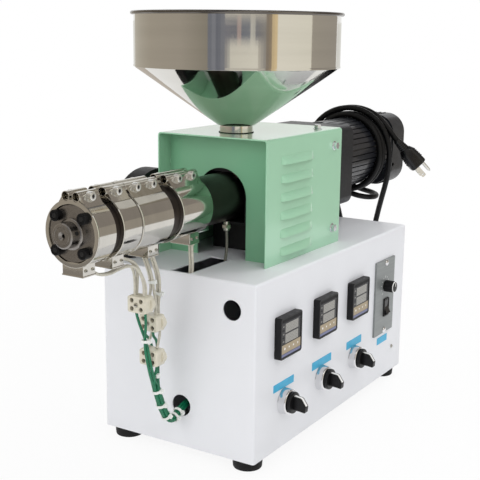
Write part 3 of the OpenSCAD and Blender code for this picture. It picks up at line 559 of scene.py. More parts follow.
# Fasteners: a cap screw's head has a radius, a length and a socket, a pan screw's a radius and a height
DIE_SCREW, EAR_SCREW, GEAR_SCREW = (5.6, 6.5, 2.9), (4.6, 6.2, 1.9), (4.4, 5, 2.2)
PANEL_HEAD, BACK_HEAD, LID_HEAD = (2.6, 1.6), (3.2, 1.8), (1.7, 1.0)
COWL_HEAD, BLOCK_HEAD = (2.4, 1.6), (2.6, 1.3)


def hex_bolt(shape, place, d):
    """A hexagon bolt head on a flange."""
    flange, head, corner = 5.6, 4.2, 8.0 / 3 ** 0.5
    shape.lathe(place, d, [(-0.6, flange), (0.6, flange), (1.1, flange - 0.7), (1.2, 2)], 32)
    shape.prism(Vector(place) + d, d, circle(corner, 6), head, 0.5)


def cap_screw(shape, place, d, r, length, socket, metal):
    """A socket head cap screw, with its hexagon socket."""
    mouth = socket * 1.02
    head = [(0, r), (length - 0.7, r), (length - 0.2, r - 0.3), (length, r - 0.8), (length, socket * 1.12),
            (length - 0.4, mouth)]
    shape.use(metal).lathe(place, d, head, 36, caps=False)
    # The socket's inside is painted shade, near black.
    hexagon = [(-0.4, mouth), (-0.6, socket), (-r * 0.9, socket)]
    shape.use("hole_shade").lathe(Vector(place) + d * length, d, hexagon, 6)


def pan_screw(shape, place, d, r, height, metal="zinc"):
    """A pan head screw, its slot a thin dark strip of painted shade set into the head."""
    head = [(-0.5, r), (height * 0.4, r), (height * 0.8, r * 0.86), (height, r * 0.5), (height, 0.3)]
    shape.use(metal).lathe(place, d, head, 32)
    # The slot is a dark strip, not a cut: painted shade.
    slit = rounded(r * 1.5, 0.8, 0.2, 2)
    shape.use("hole_shade").prism(Vector(place) + d * (height - 0.5), d, slit, 0.56)


# Cabinet
GLAND = Vector((CABINET.x, 78, 150))
SLOT_LOW, SLOT_HIGH = (4, 87.5, CABINET.z - 10), (86, 114.5, CABINET.z + 10)
# Holes in the cabinet's two ends: middle and radius
END_HOLES = (((0, 30, 172), 11.5), ((0, 97, 49), 12.5), ((CABINET.x, 104, 150), 4.5), (GLAND, 7.2))
PANEL_SCREW = (371, 0, 35)


def add_cabinet():
    wall, bend, below, through, inset = 1.5, 3.0, 10, 8, Vector((14, 0, 12))
    shell = Shape("white_paint").box((0, 0, -below), CABINET, bend, 4)
    shell.carve(Shape("white_paint").box((wall, wall, -2 * below), CABINET - Vector((wall, wall, wall)),
                                         bend - wall))
    holes = Shape("white_paint").box(SLOT_LOW, SLOT_HIGH)
    holes.box((-20, -20, -40), (CABINET.x + 20, CABINET.y + 20, 0))
    for place, r in END_HOLES:
        holes.lathe(Vector(place) - X * through, X, [(0, r), (2 * through, r)])
    shell.carve(holes)
    shell.piece("cabinet_shell", "cabinet_paint", "cabinet_top", "control_panel", "cabinet_back_panel",
                "cabinet_nozzle_end", "cabinet_motor_end")
    screws = Shape("zinc")
    pan_screw(screws, PANEL_SCREW, -Y, *PANEL_HEAD)
    for x, z in product((inset.x, CABINET.x / 2, CABINET.x - inset.x), (inset.z, CABINET.z - inset.z)):
        pan_screw(screws, (x, CABINET.y, z), Y, *BACK_HEAD)
    screws.piece("cabinet_screws", "selector_chrome")


def add_feet():
    low, high = span("rubber_feet")
    r, tall = 17.5, high.z - low.z
    profile = [(0, 6), (0, r - 2.6), (0.5, r - 1.6), (1.6, r - 1), (tall - 2, r - 0.2), (tall - 0.8, r),
               (tall, r - 0.4)]
    feet = Shape("rubber")
    for x, y in product((low.x + r, high.x - r), (low.y + r, high.y - r)):
        feet.lathe((x, y, low.z), Z, profile, 40)
    feet.piece("feet", "foot_rubber", "rubber_feet")


# Hood
LOUVRES = 6
LOUVRE_H = 9.5
LOUVRE_DEPTH = 5.0
LOUVRE_X = (HOOD_LOW.x + 33, HOOD_LOW.x + 108)
LOUVRE_DROP = 30.6
LOUVRE_PITCH = 21.1
SIDE_BOLT_X, SIDE_BOLTS_Z = 231.7, (328.3, 224.6)
TOP_BOLT_X, TOP_BOLT_Y = 217, 45.7


def louvre(shape, side_y, out, foot):
    """A pressed scoop, open at its lower edge, that fades out at both ends."""
    sections, samples, sheet = 24, 7, 1.1
    start, end = LOUVRE_X
    rings = []
    for share in (k / sections for k in range(sections + 1)):
        depth = LOUVRE_DEPTH * max(0.004, 1 - abs(2 * share - 1) ** 4) ** 0.5
        x = start + (end - start) * share
        heights = [1 - i / samples for i in range(samples + 1)]
        outer = [(depth * (1 - h ** 2), foot + LOUVRE_H * h) for h in heights]
        inner = [(max(-1.0, reach - sheet), z) for reach, z in reversed(outer)]
        rings.append([(x, side_y + out * reach, z) for reach, z in outer + inner])
    shape.loft(rings)


def hood_section(inset, r):
    """The hood's section, from its near foot over both bends to its far foot."""
    near, far, top = HOOD_LOW.y + inset, HOOD_HIGH.y - inset, HOOD_HIGH.z - inset
    arc = [radians(9 * k) for k in range(11)]
    return [(near, HOOD_LOW.z), *((near + r - r * cos(t), top - r + r * sin(t)) for t in arc),
            *((far - r + r * sin(t), top - r + r * cos(t)) for t in arc), (far, HOOD_LOW.z)]


def add_hood():
    wall, bend, neck_hole = 1.5, 4.0, 20.1
    low, high = HOOD_LOW, HOOD_HIGH
    section = hood_section(0, bend) + hood_section(wall, bend - wall)[::-1]
    shell = Shape("green_paint").prism((low.x, 0, 0), X, section, high.x - low.x, 0.3)
    holes = Shape("green_paint")
    holes.lathe((HOPPER_X, MID_Y, high.z - 10), Z, [(0, neck_hole), (20, neck_hole)], 64)
    feet = [high.z - LOUVRE_DROP - LOUVRE_PITCH * i for i in range(LOUVRES)]
    start, end = LOUVRE_X
    for foot in feet:
        holes.box((start + 3, low.y - 5, foot + 0.6), (end - 3, high.y + 5, foot + LOUVRE_H - 3))
    shell.carve(holes)
    for foot in feet:
        louvre(shell, low.y, -1, foot)
        louvre(shell, high.y, 1, foot)
    shell.piece("hood_shell", "hood_paint", "hood_top", "hood_near_side", "hood_far_side")
    bolts = Shape("bolt_zinc")
    for z, (y, out) in product(SIDE_BOLTS_Z, ((low.y, -Y), (high.y, Y))):
        hex_bolt(bolts, (SIDE_BOLT_X, y, z), out)
    for y in (TOP_BOLT_Y, 2 * MID_Y - TOP_BOLT_Y):
        hex_bolt(bolts, (TOP_BOLT_X, y, high.z), Z)
    bolts.piece("hood_bolts", "selector_chrome")


# Hopper
def add_hopper():
    wall, rim, neck, r, cone = 1.0, 2.0, 19.8, 119.5, 67
    low, high = span("hopper_cone")
    foot, joint, top = low.z, high.z, span("hopper_band")[1].z
    neck_top, inside, ring_foot = joint - cone, r - wall, HOOD_HIGH.z
    axis = Vector((HOPPER_X, MID_Y, 0))
    outer = [(foot, neck), (neck_top - 0.6, neck), (neck_top, neck + 2.4), (joint - 1.6, r - 1.9),
             (joint - 0.5, r - 0.6)]
    bead = [(joint, r + 0.25), (joint + 1, r + 0.45), (joint + 2, r + 0.25), (joint + 2.6, r)]
    inner = [(top - rim, r), (top - rim, inside), (joint + 1.5, inside), (joint + 0.2, inside - 0.8),
             (neck_top + 2, neck + 1.6), (neck_top - 2, neck - wall), (foot, neck - wall)]
    hopper = Shape("mirror_steel").lathe(axis, Z, outer + bead + inner, 144, loop=True)
    rolled = [(rim * sin(t), r + rim - wall / 2 + rim * cos(t)) for t in turns(12)]
    # The rolled rim takes the darker steel of painted reflection.
    hopper.use("rim_reflection_steel").lathe(axis + Z * (top - rim), Z, rolled, 144, loop=True)
    # A thin dark ring round the neck on the hood's top.
    ring = [(ring_foot, neck), (ring_foot, neck + 0.8), (ring_foot + 0.9, neck + 0.8), (ring_foot + 0.9, neck)]
    hopper.use("rubber").lathe(axis, Z, ring, 64, loop=True)
    hopper.piece("hopper", "hopper_steel", "hopper_band", "hopper_cone")


# Barrel
SCREW = Vector((0, MID_Y, SCREW_Z))


def add_die():
    low, high = span("die_head")
    face, tip, pitch, bore = low.x + 1.0, span("nozzle")[0].x, 16.8, 1.5
    profile = [(face, 3), (face, BARREL_R - 0.9), (face + 0.9, BARREL_R), (high.x, BARREL_R), (high.x, 3)]
    die = Shape("turned_steel").lathe(SCREW, X, profile, 96, loop=True)
    die.piece("die_front", "barrel_steel", "die_head")
    screws = Shape("black_oxide")
    for y, z in product((-pitch, pitch), repeat=2):
        cap_screw(screws, SCREW + Vector((face, y, z)), -X, *DIE_SCREW, "black_oxide")
    screws.piece("die_screws", "barrel_steel")
    collar = [(face, 15.4), (face - 2.2, 15.4), (face - 3.2, 14.4), (face - 3.6, 12.9)]
    end = [(tip + 1.4, 12.5), (tip + 0.3, 11.4), (tip, 10.8), (tip, 9.2)]
    groove = [(tip + 0.25, 9), (tip + 0.25, 8.6), (tip, 8.4), (tip, 4.2)]
    hole = [(tip + 0.5, 3.6), (tip + 2.2, 1.6), (tip + 6, bore), (face, bore)]
    nozzle = Shape("turned_steel").lathe(SCREW, X, collar + end + groove + hole, 72, loop=True)
    # The spanner hole is a shallow dark plug on the nozzle: painted shade.
    spanner_hole, slanted = [(0, 2.1), (0.75, 2.1), (0.75, 0.4)], (0, -1, 0.25)
    nozzle.use("hole_shade").lathe(SCREW + Vector((face - 7, -12, 3)), slanted, spanner_hole, 20)
    nozzle.piece("nozzle_tip", "barrel_steel", "nozzle")


# Heaters along the barrel: middle of each terminal box, and the clamp bolts' shares of the band's length
BOX_MID = (-159, -115.5, -58, 17)
CLAMPS = ((0.5,), (0.5,), (0.27, 0.76), (0.3, 0.75))
BOX_L = 18
BOX_W = 26
EAR_R = 5.0
EAR_Y = 6.5
EAR_Z = 35.9
BAND_R = 32.7
# The last heater's box reaches past its band, so the band's length is given
LAST_BAND_L = 57.0


def add_heater(i):
    node = f"band_heater_{i + 1}"
    low, high = span(node)
    start, length = SCREW + X * low.x, LAST_BAND_L if i == 3 else high.x - low.x
    inner, outer, roll, margin = BARREL_R + 0.35, BAND_R - 0.3, EAR_R - 0.2, 1.5
    bead = [(0.3, outer + 0.75), (1.1, outer + 1.05), (1.9, outer + 0.75), (2.3, outer)]
    profile = [(0, inner), (0, outer), *bead, (length - 0.4, outer), (length, outer - 0.4), (length, inner)]
    band = Shape("band_steel").lathe(start, X, profile, 96, loop=True)
    lip = [(0.4, EAR_R - 1.1), (0, EAR_R - 0.8), (0, EAR_R - 0.3), (0.4, EAR_R)]
    ear = lip + [(length - along, r) for along, r in reversed(lip)]
    for side in SIDES:
        band.lathe(start + Y * side * EAR_Y + Z * EAR_Z, X, ear, 28, loop=True)
        strap = [(side * outer * sin(t), outer * cos(t)) for t in (radians(34 - 5 * k) for k in range(5))]
        strap.append((side * EAR_Y, EAR_Z - EAR_R + 0.6))
        strap += [(side * (EAR_Y + roll * cos(t)), EAR_Z + roll * sin(t))
                  for t in (radians(25 * k - 20) for k in range(3))]
        band.prism(start + X * margin, X, strap_order(strap), length - 2 * margin, 0.2, 1)
    for share in CLAMPS[i]:
        bolt = start + X * length * share + Z * EAR_Z
        ear_end = Y * (EAR_Y + EAR_R)
        band.use("zinc").lathe(bolt + ear_end + Y * 3.2, -Y, [(0, 2.4), (24, 2.4)], 20)
        band.prism(bolt + ear_end - Y, Y, circle(4.4, 6), 3.6, 0.4, 1)
        cap_screw(band, bolt - ear_end + Y * 1.2, -Y, *EAR_SCREW, "nickel")
    add_terminal_box(band.use("band_steel"), i, low.z)
    band.piece(f"heater_band_{i + 1}", "heater_steel", node)


def strap_order(points):
    """A strap's outline, sorted round its middle."""
    mid = sum((Vector(p) for p in points), Vector((0, 0))) / len(points)
    return sorted(points, key=lambda p: (Vector(p) - mid).angle_signed(Vector((1, 0)), 0))


def add_terminal_box(band, i, foot):
    """The sheet box under a heater, with its lid, lid screws and the bush that the leads leave by."""
    half = Vector((BOX_L / 2, BOX_W / 2, 0))
    low, high = (Vector((BOX_MID[i], MID_Y, foot)) + side * half for side in SIDES)
    lid = Vector((0.5, 0.5, 0))
    band.box(low + Z * 1.2, (high.x, high.y, SCREW_Z - BARREL_R + 1), 0.7)
    band.box(low - lid, high + lid + Z * 1.6, 0.4)
    for x in (low.x + 4, high.x - 4):
        pan_screw(band, (x, low.y - 0.2, foot + 6.5), -Y, *LID_HEAD)
    band.use("ceramic")
    if i < 2:
        band.lathe((high.x - 0.5, MID_Y, foot + 5.2), X, [(0, 4.6), (1.6, 4.6), (2.4, 3.9), (2.4, 1)], 28)
    else:
        starts = (ROUTE_C[0], ROUTE_E[0]) if i == 2 else (ROUTE_D[0],)
        for x, y, _ in starts:
            band.lathe((x, y, foot + 0.4), -Z, [(0, 4.4), (1.4, 4.4), (2, 3.8), (2, 1)], 28)


def add_probe():
    """Temperature probe under the barrel with its braided lead, and the bright rod of a second probe."""
    low, high = span("thermocouple")
    foot = Vector((high.x - 4, low.y + 4, high.z - 9))
    second_rod = [(27, 100, 246), (42, 99, 247.5), (57, 98, 250)]
    probe = Shape("zinc").lathe(foot, Z, [(-1.5, 2.2), (-1.2, 3.2), (0, 4), (2.2, 4)], 32)
    probe.prism(foot + Z * 2.2, Z, circle(5.4, 6), 4.2, 0.5)
    probe.lathe(foot, Z, [(6.4, 3.4), (10, 3.4)], 28)
    probe.sweep(second_rod, 1.3)
    body = probe.piece("probe", "probe_steel", "thermocouple")
    line = smooth([foot + Vector(p) for p in PROBE])
    add_cord("probe_lead", line, PROBE_LEAD_D, "braid")


# Drive
def add_motor():
    """Round motor body with fine cooling grooves, and its square end shield."""
    low, high = span("motor_body")
    fins, r, groove, shield = 40, 49.0, 3.5, 8.0
    fin = ((-0.9, r), (-0.7, r - groove), (0.7, r - groove), (0.9, r), (2.7, r), (4.5, r), (6.3, r))
    outline = []
    for k, (turn, reach) in product(range(fins), fin):
        t = radians((k + 0.5) * 360 / fins + turn)
        outline.append((reach * cos(t), reach * sin(t)))
    motor = Shape("motor_paint").prism((low.x, MID_Y, MOTOR_Z), X, outline, high.x - shield - low.x)
    square = rounded(high.y - low.y, high.z - low.z, 26, 8)
    motor.prism((high.x - shield, MID_Y, MOTOR_Z), X, square, shield, 1.0, 3)
    motor.piece("motor_shell", "motor_paint", "motor_body")


def add_feed_block():
    """Feed block around the barrel, with its throat under the hopper, on a foot at its motor end."""
    low, high = span("feed_block")
    bore, throat, floor, foot = BARREL_R + 0.4, 17.0, 3.0, 14.0
    mid_x, under, over = (low.x + high.x) / 2, SCREW_Z - bore, SCREW_Z + bore
    block = Shape("cast_grey")
    for side in SIDES:
        inner, edge, outer = (MID_Y + side * reach for reach in (throat, bore, high.y - MID_Y))
        ends = (low.x if side < 0 else high.x, mid_x + side * throat)
        block.box((low.x, min(edge, outer), under - floor), (high.x, max(edge, outer), high.z), 0.8)
        block.box((min(ends), MID_Y - bore, over), (max(ends), MID_Y + bore, high.z), 0.4)
        block.box((mid_x - throat, min(inner, edge), over), (mid_x + throat, max(inner, edge), high.z), 0.4)
    block.box((low.x, MID_Y - bore, under - floor), (high.x, MID_Y + bore, under), 0.4)
    block.box((high.x - foot, low.y, low.z), (high.x, high.y, under - floor), 0.8)
    block.piece("feed_housing", "cast_blocks", "feed_block")


def add_cowl_ribs():
    low, high = span("fan_cowl")
    ribs, pitch, half = Shape("cowl_paint"), 7.5, 1.4
    for y in (MID_Y + pitch * k for k in range(-3, 4)):
        ribs.box((low.x + 5, y - half, high.z - 1), (high.x - 6, y + half, high.z + 1.1), 0.5)
    ribs.piece("cowl_ribs", "motor_paint")


def add_drive_screws():
    """Cap screws on the gear head's front and pan screws on the cowl's sides."""
    screws, inset = Shape("black_oxide"), 9
    low, high = span("gear_head")
    for y, z in product((low.y + inset, high.y - inset), (low.z + inset, high.z - inset)):
        cap_screw(screws, (low.x + 0.5, y, z), -X, *GEAR_SCREW, "black_oxide")
    inset = 31
    low, high = span("fan_cowl")
    for (y, out), z in product(((low.y - 0.2, -Y), (high.y + 0.2, Y)), (low.z + inset, high.z - inset)):
        pan_screw(screws, (low.x + 2.9, y, z), out, *COWL_HEAD, "black_oxide")
    screws.piece("drive_screws", "barrel_steel")


def add_fan():
    """The motor's fan, inside its cowl."""
    hub = Vector((span("fan_cowl")[0].x + 8, MID_Y, MOTOR_Z))
    fan = Shape("black_plastic").lathe(hub, X, [(0, 12), (20, 12), (22, 10), (22, 2)], 32)
    add_blades(fan, hub + X * 2, X, 8, (11, 39), 16, 0.9)
    fan.piece("motor_fan", "black_plastic")


def upright(t):
    """A direction in the control panel's plane, by its angle from X."""
    return Vector((cos(t), 0, sin(t)))


def add_blower():
    low, high = span("blower")
    r, inlet, deep = (high.x - low.x) / 2, 31.5, 12
    hub = Vector(((low.x + high.x) / 2, high.y, high.z - r))
    cut, steps = acos((hub.z - low.z) / r), 48
    arc = [-pi / 2 + cut + (2 * pi - 2 * cut) * k / steps for k in range(steps + 1)]
    outline = [(r * cos(t), r * sin(t)) for t in arc]
    case = Shape("blower_black").prism((hub.x, low.y, hub.z), Y, outline, high.y - low.y, 3.0, 4)
    case.carve(Shape("blower_black").lathe(hub - Y * deep, Y, [(0, inlet), (20, inlet)], 64))
    seam = [(-0.5, r - 6.4), (0.55, r - 6), (0.55, r - 5), (-0.5, r - 4.6)]
    for y, out in ((low.y, -Y), (high.y, Y)):
        case.lathe((hub.x, y, hub.z), out, seam, 96, loop=True)
    lip = [(-1, inlet), (0.9, inlet + 0.3), (1.2, inlet + 1.5), (0.9, inlet + 2.7), (-1, inlet + 3.1)]
    case.lathe(hub, Y, lip, 64, loop=True)
    drum = [(0, 17), (8.5, 17), (10, 15.5), (10.2, 12), (10.2, 1)]
    case.use("black_plastic").lathe(hub - Y * deep, Y, drum)
    add_blades(case, hub - Y * (deep - 0.5), -Y, 28, (20, 29), -7, 0.35, lean=2.5)
    for ring in (21, 26.5):
        case.sweep([hub - Y * 0.6 + upright(t) * ring for t in turns(56)], 0.7, 8, loop=True)
    for away in (upright(t) for t in turns(4, pi / 4)):
        spoke = [away * 14 - Y * 1.9, away * 22 - Y * 0.7, away * 33 - Y * 0.7]
        case.sweep([hub + p for p in spoke], 0.9, 8)
    case.piece("blower_case", "black_plastic", "blower")


# Control panel
CONTROLLER = 48.0
FACE_W = 43.2
# Strips of a controller's face: finish, place of the middle, height, how far each stands proud
FACE_STRIPS = (("charcoal", 19.8, 3.8, 0.35), ("window_grey", 5.2, 25.2, 0.15),
               ("tan_strip", -12.8, 10.2, 0.3), ("lilac_strip", -19.9, 3.2, 0.3))
DISPLAYS = (10.9, -1.2)
DISPLAY_X, DISPLAY_W, DISPLAY_H = 1.0, 29, 10.2
DIGIT_PITCH, DIGIT_W, DIGIT_H = 6.8, 1.9, 3.7
LEVEL, ERECT = (2.9, 0.75), (0.75, 2.7)
# Segments of a digit: place across and up as shares of the digit, and size
SEGMENTS = [(0, up, LEVEL) for up in (1, 0, -1)]
SEGMENTS += [(side, up, ERECT) for up, side in product((0.5, -0.5), SIDES)]
LEDS, LED_X, LED_TOP, LED_PITCH = 5, -17.8, 13.6, 4.3
KEYS, KEY_X, KEY_Z, KEY_PITCH = 4, -14.6, -12.4, 9.8


def panel_strip(shape, x, z, w, h, front, back, r=0.3):
    """A thin plate on the control panel's side, from a front to a back depth."""
    shape.prism((x, -back, z), -Y, rounded(w, h, r, 3), front - back, min(0.12, (front - back) / 3), 1)


def add_controller(number):
    node = f"temperature_controller_{number}"
    x, z, depth = middle(f"selector_knob_{number}").x, middle(node).z, -span(node)[0].y
    floor, opening = depth - 0.7, CONTROLLER - 4.4
    unit = Shape("black_plastic")
    unit.prism((x, 0.5, z), -Y, rounded(CONTROLLER, CONTROLLER, 2), depth + 0.5, 0.9, 3)
    unit.carve(Shape("black_plastic").prism((x, -floor, z), -Y, rounded(opening, opening, 1, 4), 4))
    for look, up, h, proud in FACE_STRIPS:
        panel_strip(unit.use(look), x, z + up, FACE_W, h, floor + proud, floor - 0.1)
    display_x = x + DISPLAY_X
    for display_z in (z + up for up in DISPLAYS):
        unit.use("display_grey")
        panel_strip(unit, display_x, display_z, DISPLAY_W, DISPLAY_H, floor + 0.3, floor)
        unit.use("segment_grey")
        for k, (aside, up, size) in product(range(4), SEGMENTS):
            segment_x = display_x + DIGIT_PITCH * (k - 1.5) + aside * DIGIT_W
            panel_strip(unit, segment_x, display_z + up * DIGIT_H, *size, floor + 0.36, floor + 0.2, 0.2)
    for k in range(LEDS):
        unit.use("charcoal" if k % 2 else "segment_grey")
        panel_strip(unit, x + LED_X, z + LED_TOP - LED_PITCH * k, 3.2, 1.6, floor + 0.3, floor)
    unit.use("print_white")
    for k in range(KEYS):
        sign = circle(1.6, 3, pi / 2 + pi * (k % 2)) if k else circle(1.4, 20)
        unit.prism((x + KEY_X + KEY_PITCH * k, -floor - 0.25, z + KEY_Z), -Y, sign, 0.2)
    unit.piece(f"controller_{number}", "black_plastic", node)


# Profiles of a selector: its bezel, its knob's disc, the handle from the side and the handle's white ridge
BEZEL = [(0, 15.5), (0.8, 15.5), (1.4, 15.1), (8.4, 14.6), (9.4, 14.1), (10, 13.2), (10, 6.3), (4, 6.3)]
DISC = [(5, 6), (10.6, 6), (10.6, 11.9), (10.9, 12.5), (13.6, 12.5), (14.3, 12.1), (14.6, 11.4), (14.6, 1)]
HANDLE = [(-14, 8.6), (-23, 7.6), (-24.4, 6.8), (-29.6, -0.6), (-30, -1.8), (-29.4, -7.8), (-28.6, -8.6),
          (-19.5, -7.4), (-14, -7.2)]
HANDLE_W = 8.0
RIDGE = [(-14.2, 8.58), (-23, 7.6), (-24.4, 6.8), (-29.3, -0.2)]
RIDGE_W = 3.6


def add_selector(number):
    base, knob_node = f"selector_base_{number}", f"selector_knob_{number}"
    axis = Vector((middle(knob_node).x, 0, middle(base).z))
    bezel = Shape("chrome").lathe(axis, -Y, BEZEL, 72)
    bezel.piece(f"selector_bezel_{number}", "selector_chrome", base)
    knob = Shape("black_plastic").lathe(axis, -Y, DISC, 64)
    knob.prism(axis - X * HANDLE_W / 2, X, HANDLE, HANDLE_W, 1.1, 3)
    knob.use("print_white")
    half = X * RIDGE_W / 2
    for (y0, z0), (y1, z1) in zip(RIDGE, RIDGE[1:]):
        out = Vector((0, z0 - z1, y0 - y1)).normalized()
        start, end = axis + Y * y0 + Z * z0, axis + Y * y1 + Z * z1
        corners = [start - half, start + half, end + half, end - half]
        knob.slab(corners, out * -0.6, out * 0.25)
    knob.piece(f"selector_handle_{number}", "black_plastic", knob_node, body=f"selector_{number}")


PLATE_T = 2.5
DIAL = Vector((middle("speed_plate").x, -PLATE_T, middle("speed_knob").z))
ROCKER_HALF = Vector((7, 10, 11.5))
PLATE_SCREWS = (46.7, -47.6)
MARKS, MARK_R, MARK_HALF, LONG_MARK, SHORT_MARK = 11, 11, 0.35, 3.4, 2.2


def add_speed_plate():
    """Plate with its two chrome screws, the dial's nut and marks, and an opening for the rocker."""
    low, high = span("speed_plate")
    mid, rocker = (low + high) / 2, middle("rocker_frame")
    rocker.y = 0
    edge = rounded(high.x - low.x, high.z - low.z, 1.2, 4)
    plate = Shape("plate_grey").prism((mid.x, 0.2, mid.z), -Y, edge, PLATE_T + 0.2, 0.4)
    plate.carve(Shape("plate_grey").box(rocker - ROCKER_HALF, rocker + ROCKER_HALF))
    plate.use("zinc").lathe(DIAL, -Y, [(-0.5, 6.6), (0.4, 6.6), (0.6, 6.2), (0.6, 1)], 6)
    head = [(-0.5, 4.4), (0.6, 4.4), (1.5, 3.7), (2.1, 2.3), (2.3, 0.4)]
    for up in PLATE_SCREWS:
        plate.use("chrome").lathe((mid.x + 1.5, -PLATE_T, mid.z + up), -Y, head, 32)
    plate.use("print_white")
    for k in range(MARKS):
        t = radians(230 - 28 * k)
        half = upright(t + pi / 2) * MARK_HALF
        start = DIAL + upright(t) * MARK_R
        end = start + upright(t) * (SHORT_MARK if k % 5 else LONG_MARK)
        corners = [start + half, start - half, end - half, end + half]
        plate.slab(corners, Y * 0.1, Y * -0.08)
    plate.piece("speed_panel", "plate_metal", "speed_plate")


def add_speed_dial():
    """Fluted knob with a white ring and pointer."""
    flutes, flute = 36, 0.25
    rings = []
    profile = ((0.6, 7.6, 0), (1.2, 8, flute), (12.6, 7.7, flute), (13.6, 7.3, 0), (14.6, 6.4, 0),
               (15, 5.4, 0), (15, 0.4, 0))
    for along, r, deep in profile:
        rings.append([DIAL - Y * along + upright(t) * (r - deep * (k % 2))
                      for k, t in enumerate(turns(2 * flutes))])
    knob = Shape("black_plastic").loft(rings).use("print_white")
    knob.lathe(DIAL, -Y, [(13.4, 6.6), (13.4, 7.5), (14.3, 7.05), (14.3, 6.4)], loop=True)
    knob.box(DIAL + Vector((-0.7, -15.2, 0.8)), DIAL + Vector((0.7, -14.6, 5.6)), 0.15, 1)
    knob.piece("speed_dial", "black_plastic", "speed_knob", body="speed")


def add_rocker():
    x, z = middle("rocker_frame").xz
    w, h, wall = 6.4, 10.9, 0.5
    bezel = Shape("black_plastic").prism((x, -2.4, z), -Y, rounded(16, 25, 1.4, 4), 2.1, 0.6, 3)
    bezel.box((x - w - wall, -2.6, z - h - wall), (x + w + wall, 17, z + h + wall))
    bezel.carve(Shape("black_plastic").box((x - w, -12, z - h), (x + w, 15.5, z + h)))
    bezel.piece("rocker_bezel", "black_plastic", "rocker_frame")


# Label strips: their ends along x and z
LABELS = ((40.3, 86.8, 70.6, 79.7), (131.9, 182, 69.4, 79.5), (225.2, 268.7, 69.4, 79.8),
          (320.7, 353, 49.4, 59))


def add_labels():
    """Bare blue strips over the selectors and under the speed plate."""
    strips = Shape("label_blue")
    for x0, x1, z0, z1 in LABELS:
        panel_strip(strips, (x0 + x1) / 2, (z0 + z1) / 2, x1 - x0, z1 - z0, 0.4, -0.3, 0.6)
    strips.piece("label_strips", "cabinet_paint")


# Wiring pieces
def add_terminal_block(number):
    node = f"terminal_block_{number}"
    low, high = span(node)
    d, w, h = high - low
    mid = (low + high) / 2
    front, back = Vector((low.x, mid.y, mid.z)), Vector((high.x, mid.y, mid.z))
    block = Shape("ceramic").prism(back, -X, rounded(w, h, 2.4, 4), d, 1.2, 3)
    block.prism(back, -X, rounded(w + 6, h - 2, h / 2 - 1.2, 8), 6, 1.0, 3)
    places = [front + Y * y + Z * z for y, z in product((-HOLE_PITCH, HOLE_PITCH), (-h / 4, h / 4))]
    # Painted shade: the carved holes get near-black walls and are closed by near-black discs a little way
    # in.
    holes = Shape("hole_shade")
    for place in places:
        holes.lathe(place - X * 3, X, [(0, 2.6), (10, 2.6)], 24)
    block.carve(holes).use("hole_shade")
    for place in places:
        block.lathe(place + X * 4.4, X, [(0, 2.7), (0.8, 2.7)], 20)
    pan_screw(block, front, -X, *BLOCK_HEAD)
    return block.piece(f"terminal_ceramic_{number}", "ceramic", node)


def tie(shape, line, share, r_side, r_up):
    """A cable tie round a group of wires, at a share of their route, with its lock."""
    k = round(share * (len(line) - 1))
    centre, d = line[k], headings(line)[k]
    side = (Y - d * d.y).normalized()
    up = d.cross(side)
    half, thick = 1.5, 0.9

    def loop(along, grow):
        return [centre + d * along + side * (r_side + grow) * cos(t) + up * (r_up + grow) * sin(t)
                for t in turns(28)]

    shape.loft([loop(-half, 0), loop(-half, thick), loop(half, thick), loop(half, 0)], loop=True)
    lock = centre - side * (r_side + 1.4)
    corners = [lock + side * a + up * b for a, b in ((-1.4, -2), (1.4, -2), (1.4, 2), (-1.4, 2))]
    shape.slab(corners, d * -2.1, d * 2.1)


def add_ties():
    ties = Shape("nylon")
    for share in (0.3, 0.44, 0.58, 0.7, 0.8):
        tie(ties, smooth(BUNDLE), share, 4.9, 4.9)
    pairs = ((GREEN_1, 0.33, 4.2), (ROUTE_E, 0.45, 3.4), (ROUTE_C, 0.5, 3.4), (BUNDLE, 0.1, 4.9))
    for route, share, wide in pairs:
        tie(ties, smooth(route), share, wide, 2.0)
    ties.piece("cable_ties", "ceramic")


def ribbed(count, start, pitch, r, grow, rib):
    """Ribs of a strain relief in a profile: each rib is steps along and out from its own start."""
    return [(start + pitch * k + along, r + grow * k + out) for k in range(count) for along, out in rib]


def add_gland():
    gland = Shape("black_plastic").lathe(GLAND, X, [(-7, 6.8), (0, 6.8)], 32)
    gland.prism(GLAND, X, circle(12.2, 6), 4, 0.7)
    ribs = ribbed(6, 5, 3.2, 7.6, -0.42, ((0, 0), (1.9, -0.2), (2.1, -1.0), (3.0, -1.1)))
    gland.lathe(GLAND, X, [(4, 8.2), *ribs, (25, 4.7), (25, 2)], 40)
    return gland.piece("gland", "cord_rubber", "cord_gland")


# Rings of the plug's body: place along it, width, height, corner radius
PLUG_RINGS = ((15, 11, 12, 5), (17, 15, 17, 6.5), (22, 18.6, 21.6, 7.4), (31, 20.8, 24, 7.4),
              (45, 22, 25, 7), (46.4, 21.4, 24.4, 6.6), (47, 20, 23, 6))
PLUG_WAY = Vector((18, -22, -30)).normalized()
BLADE_GAP, BLADE_HALF = 6.35, 0.75
GRIPS, GRIP_PITCH = 5, 3.4


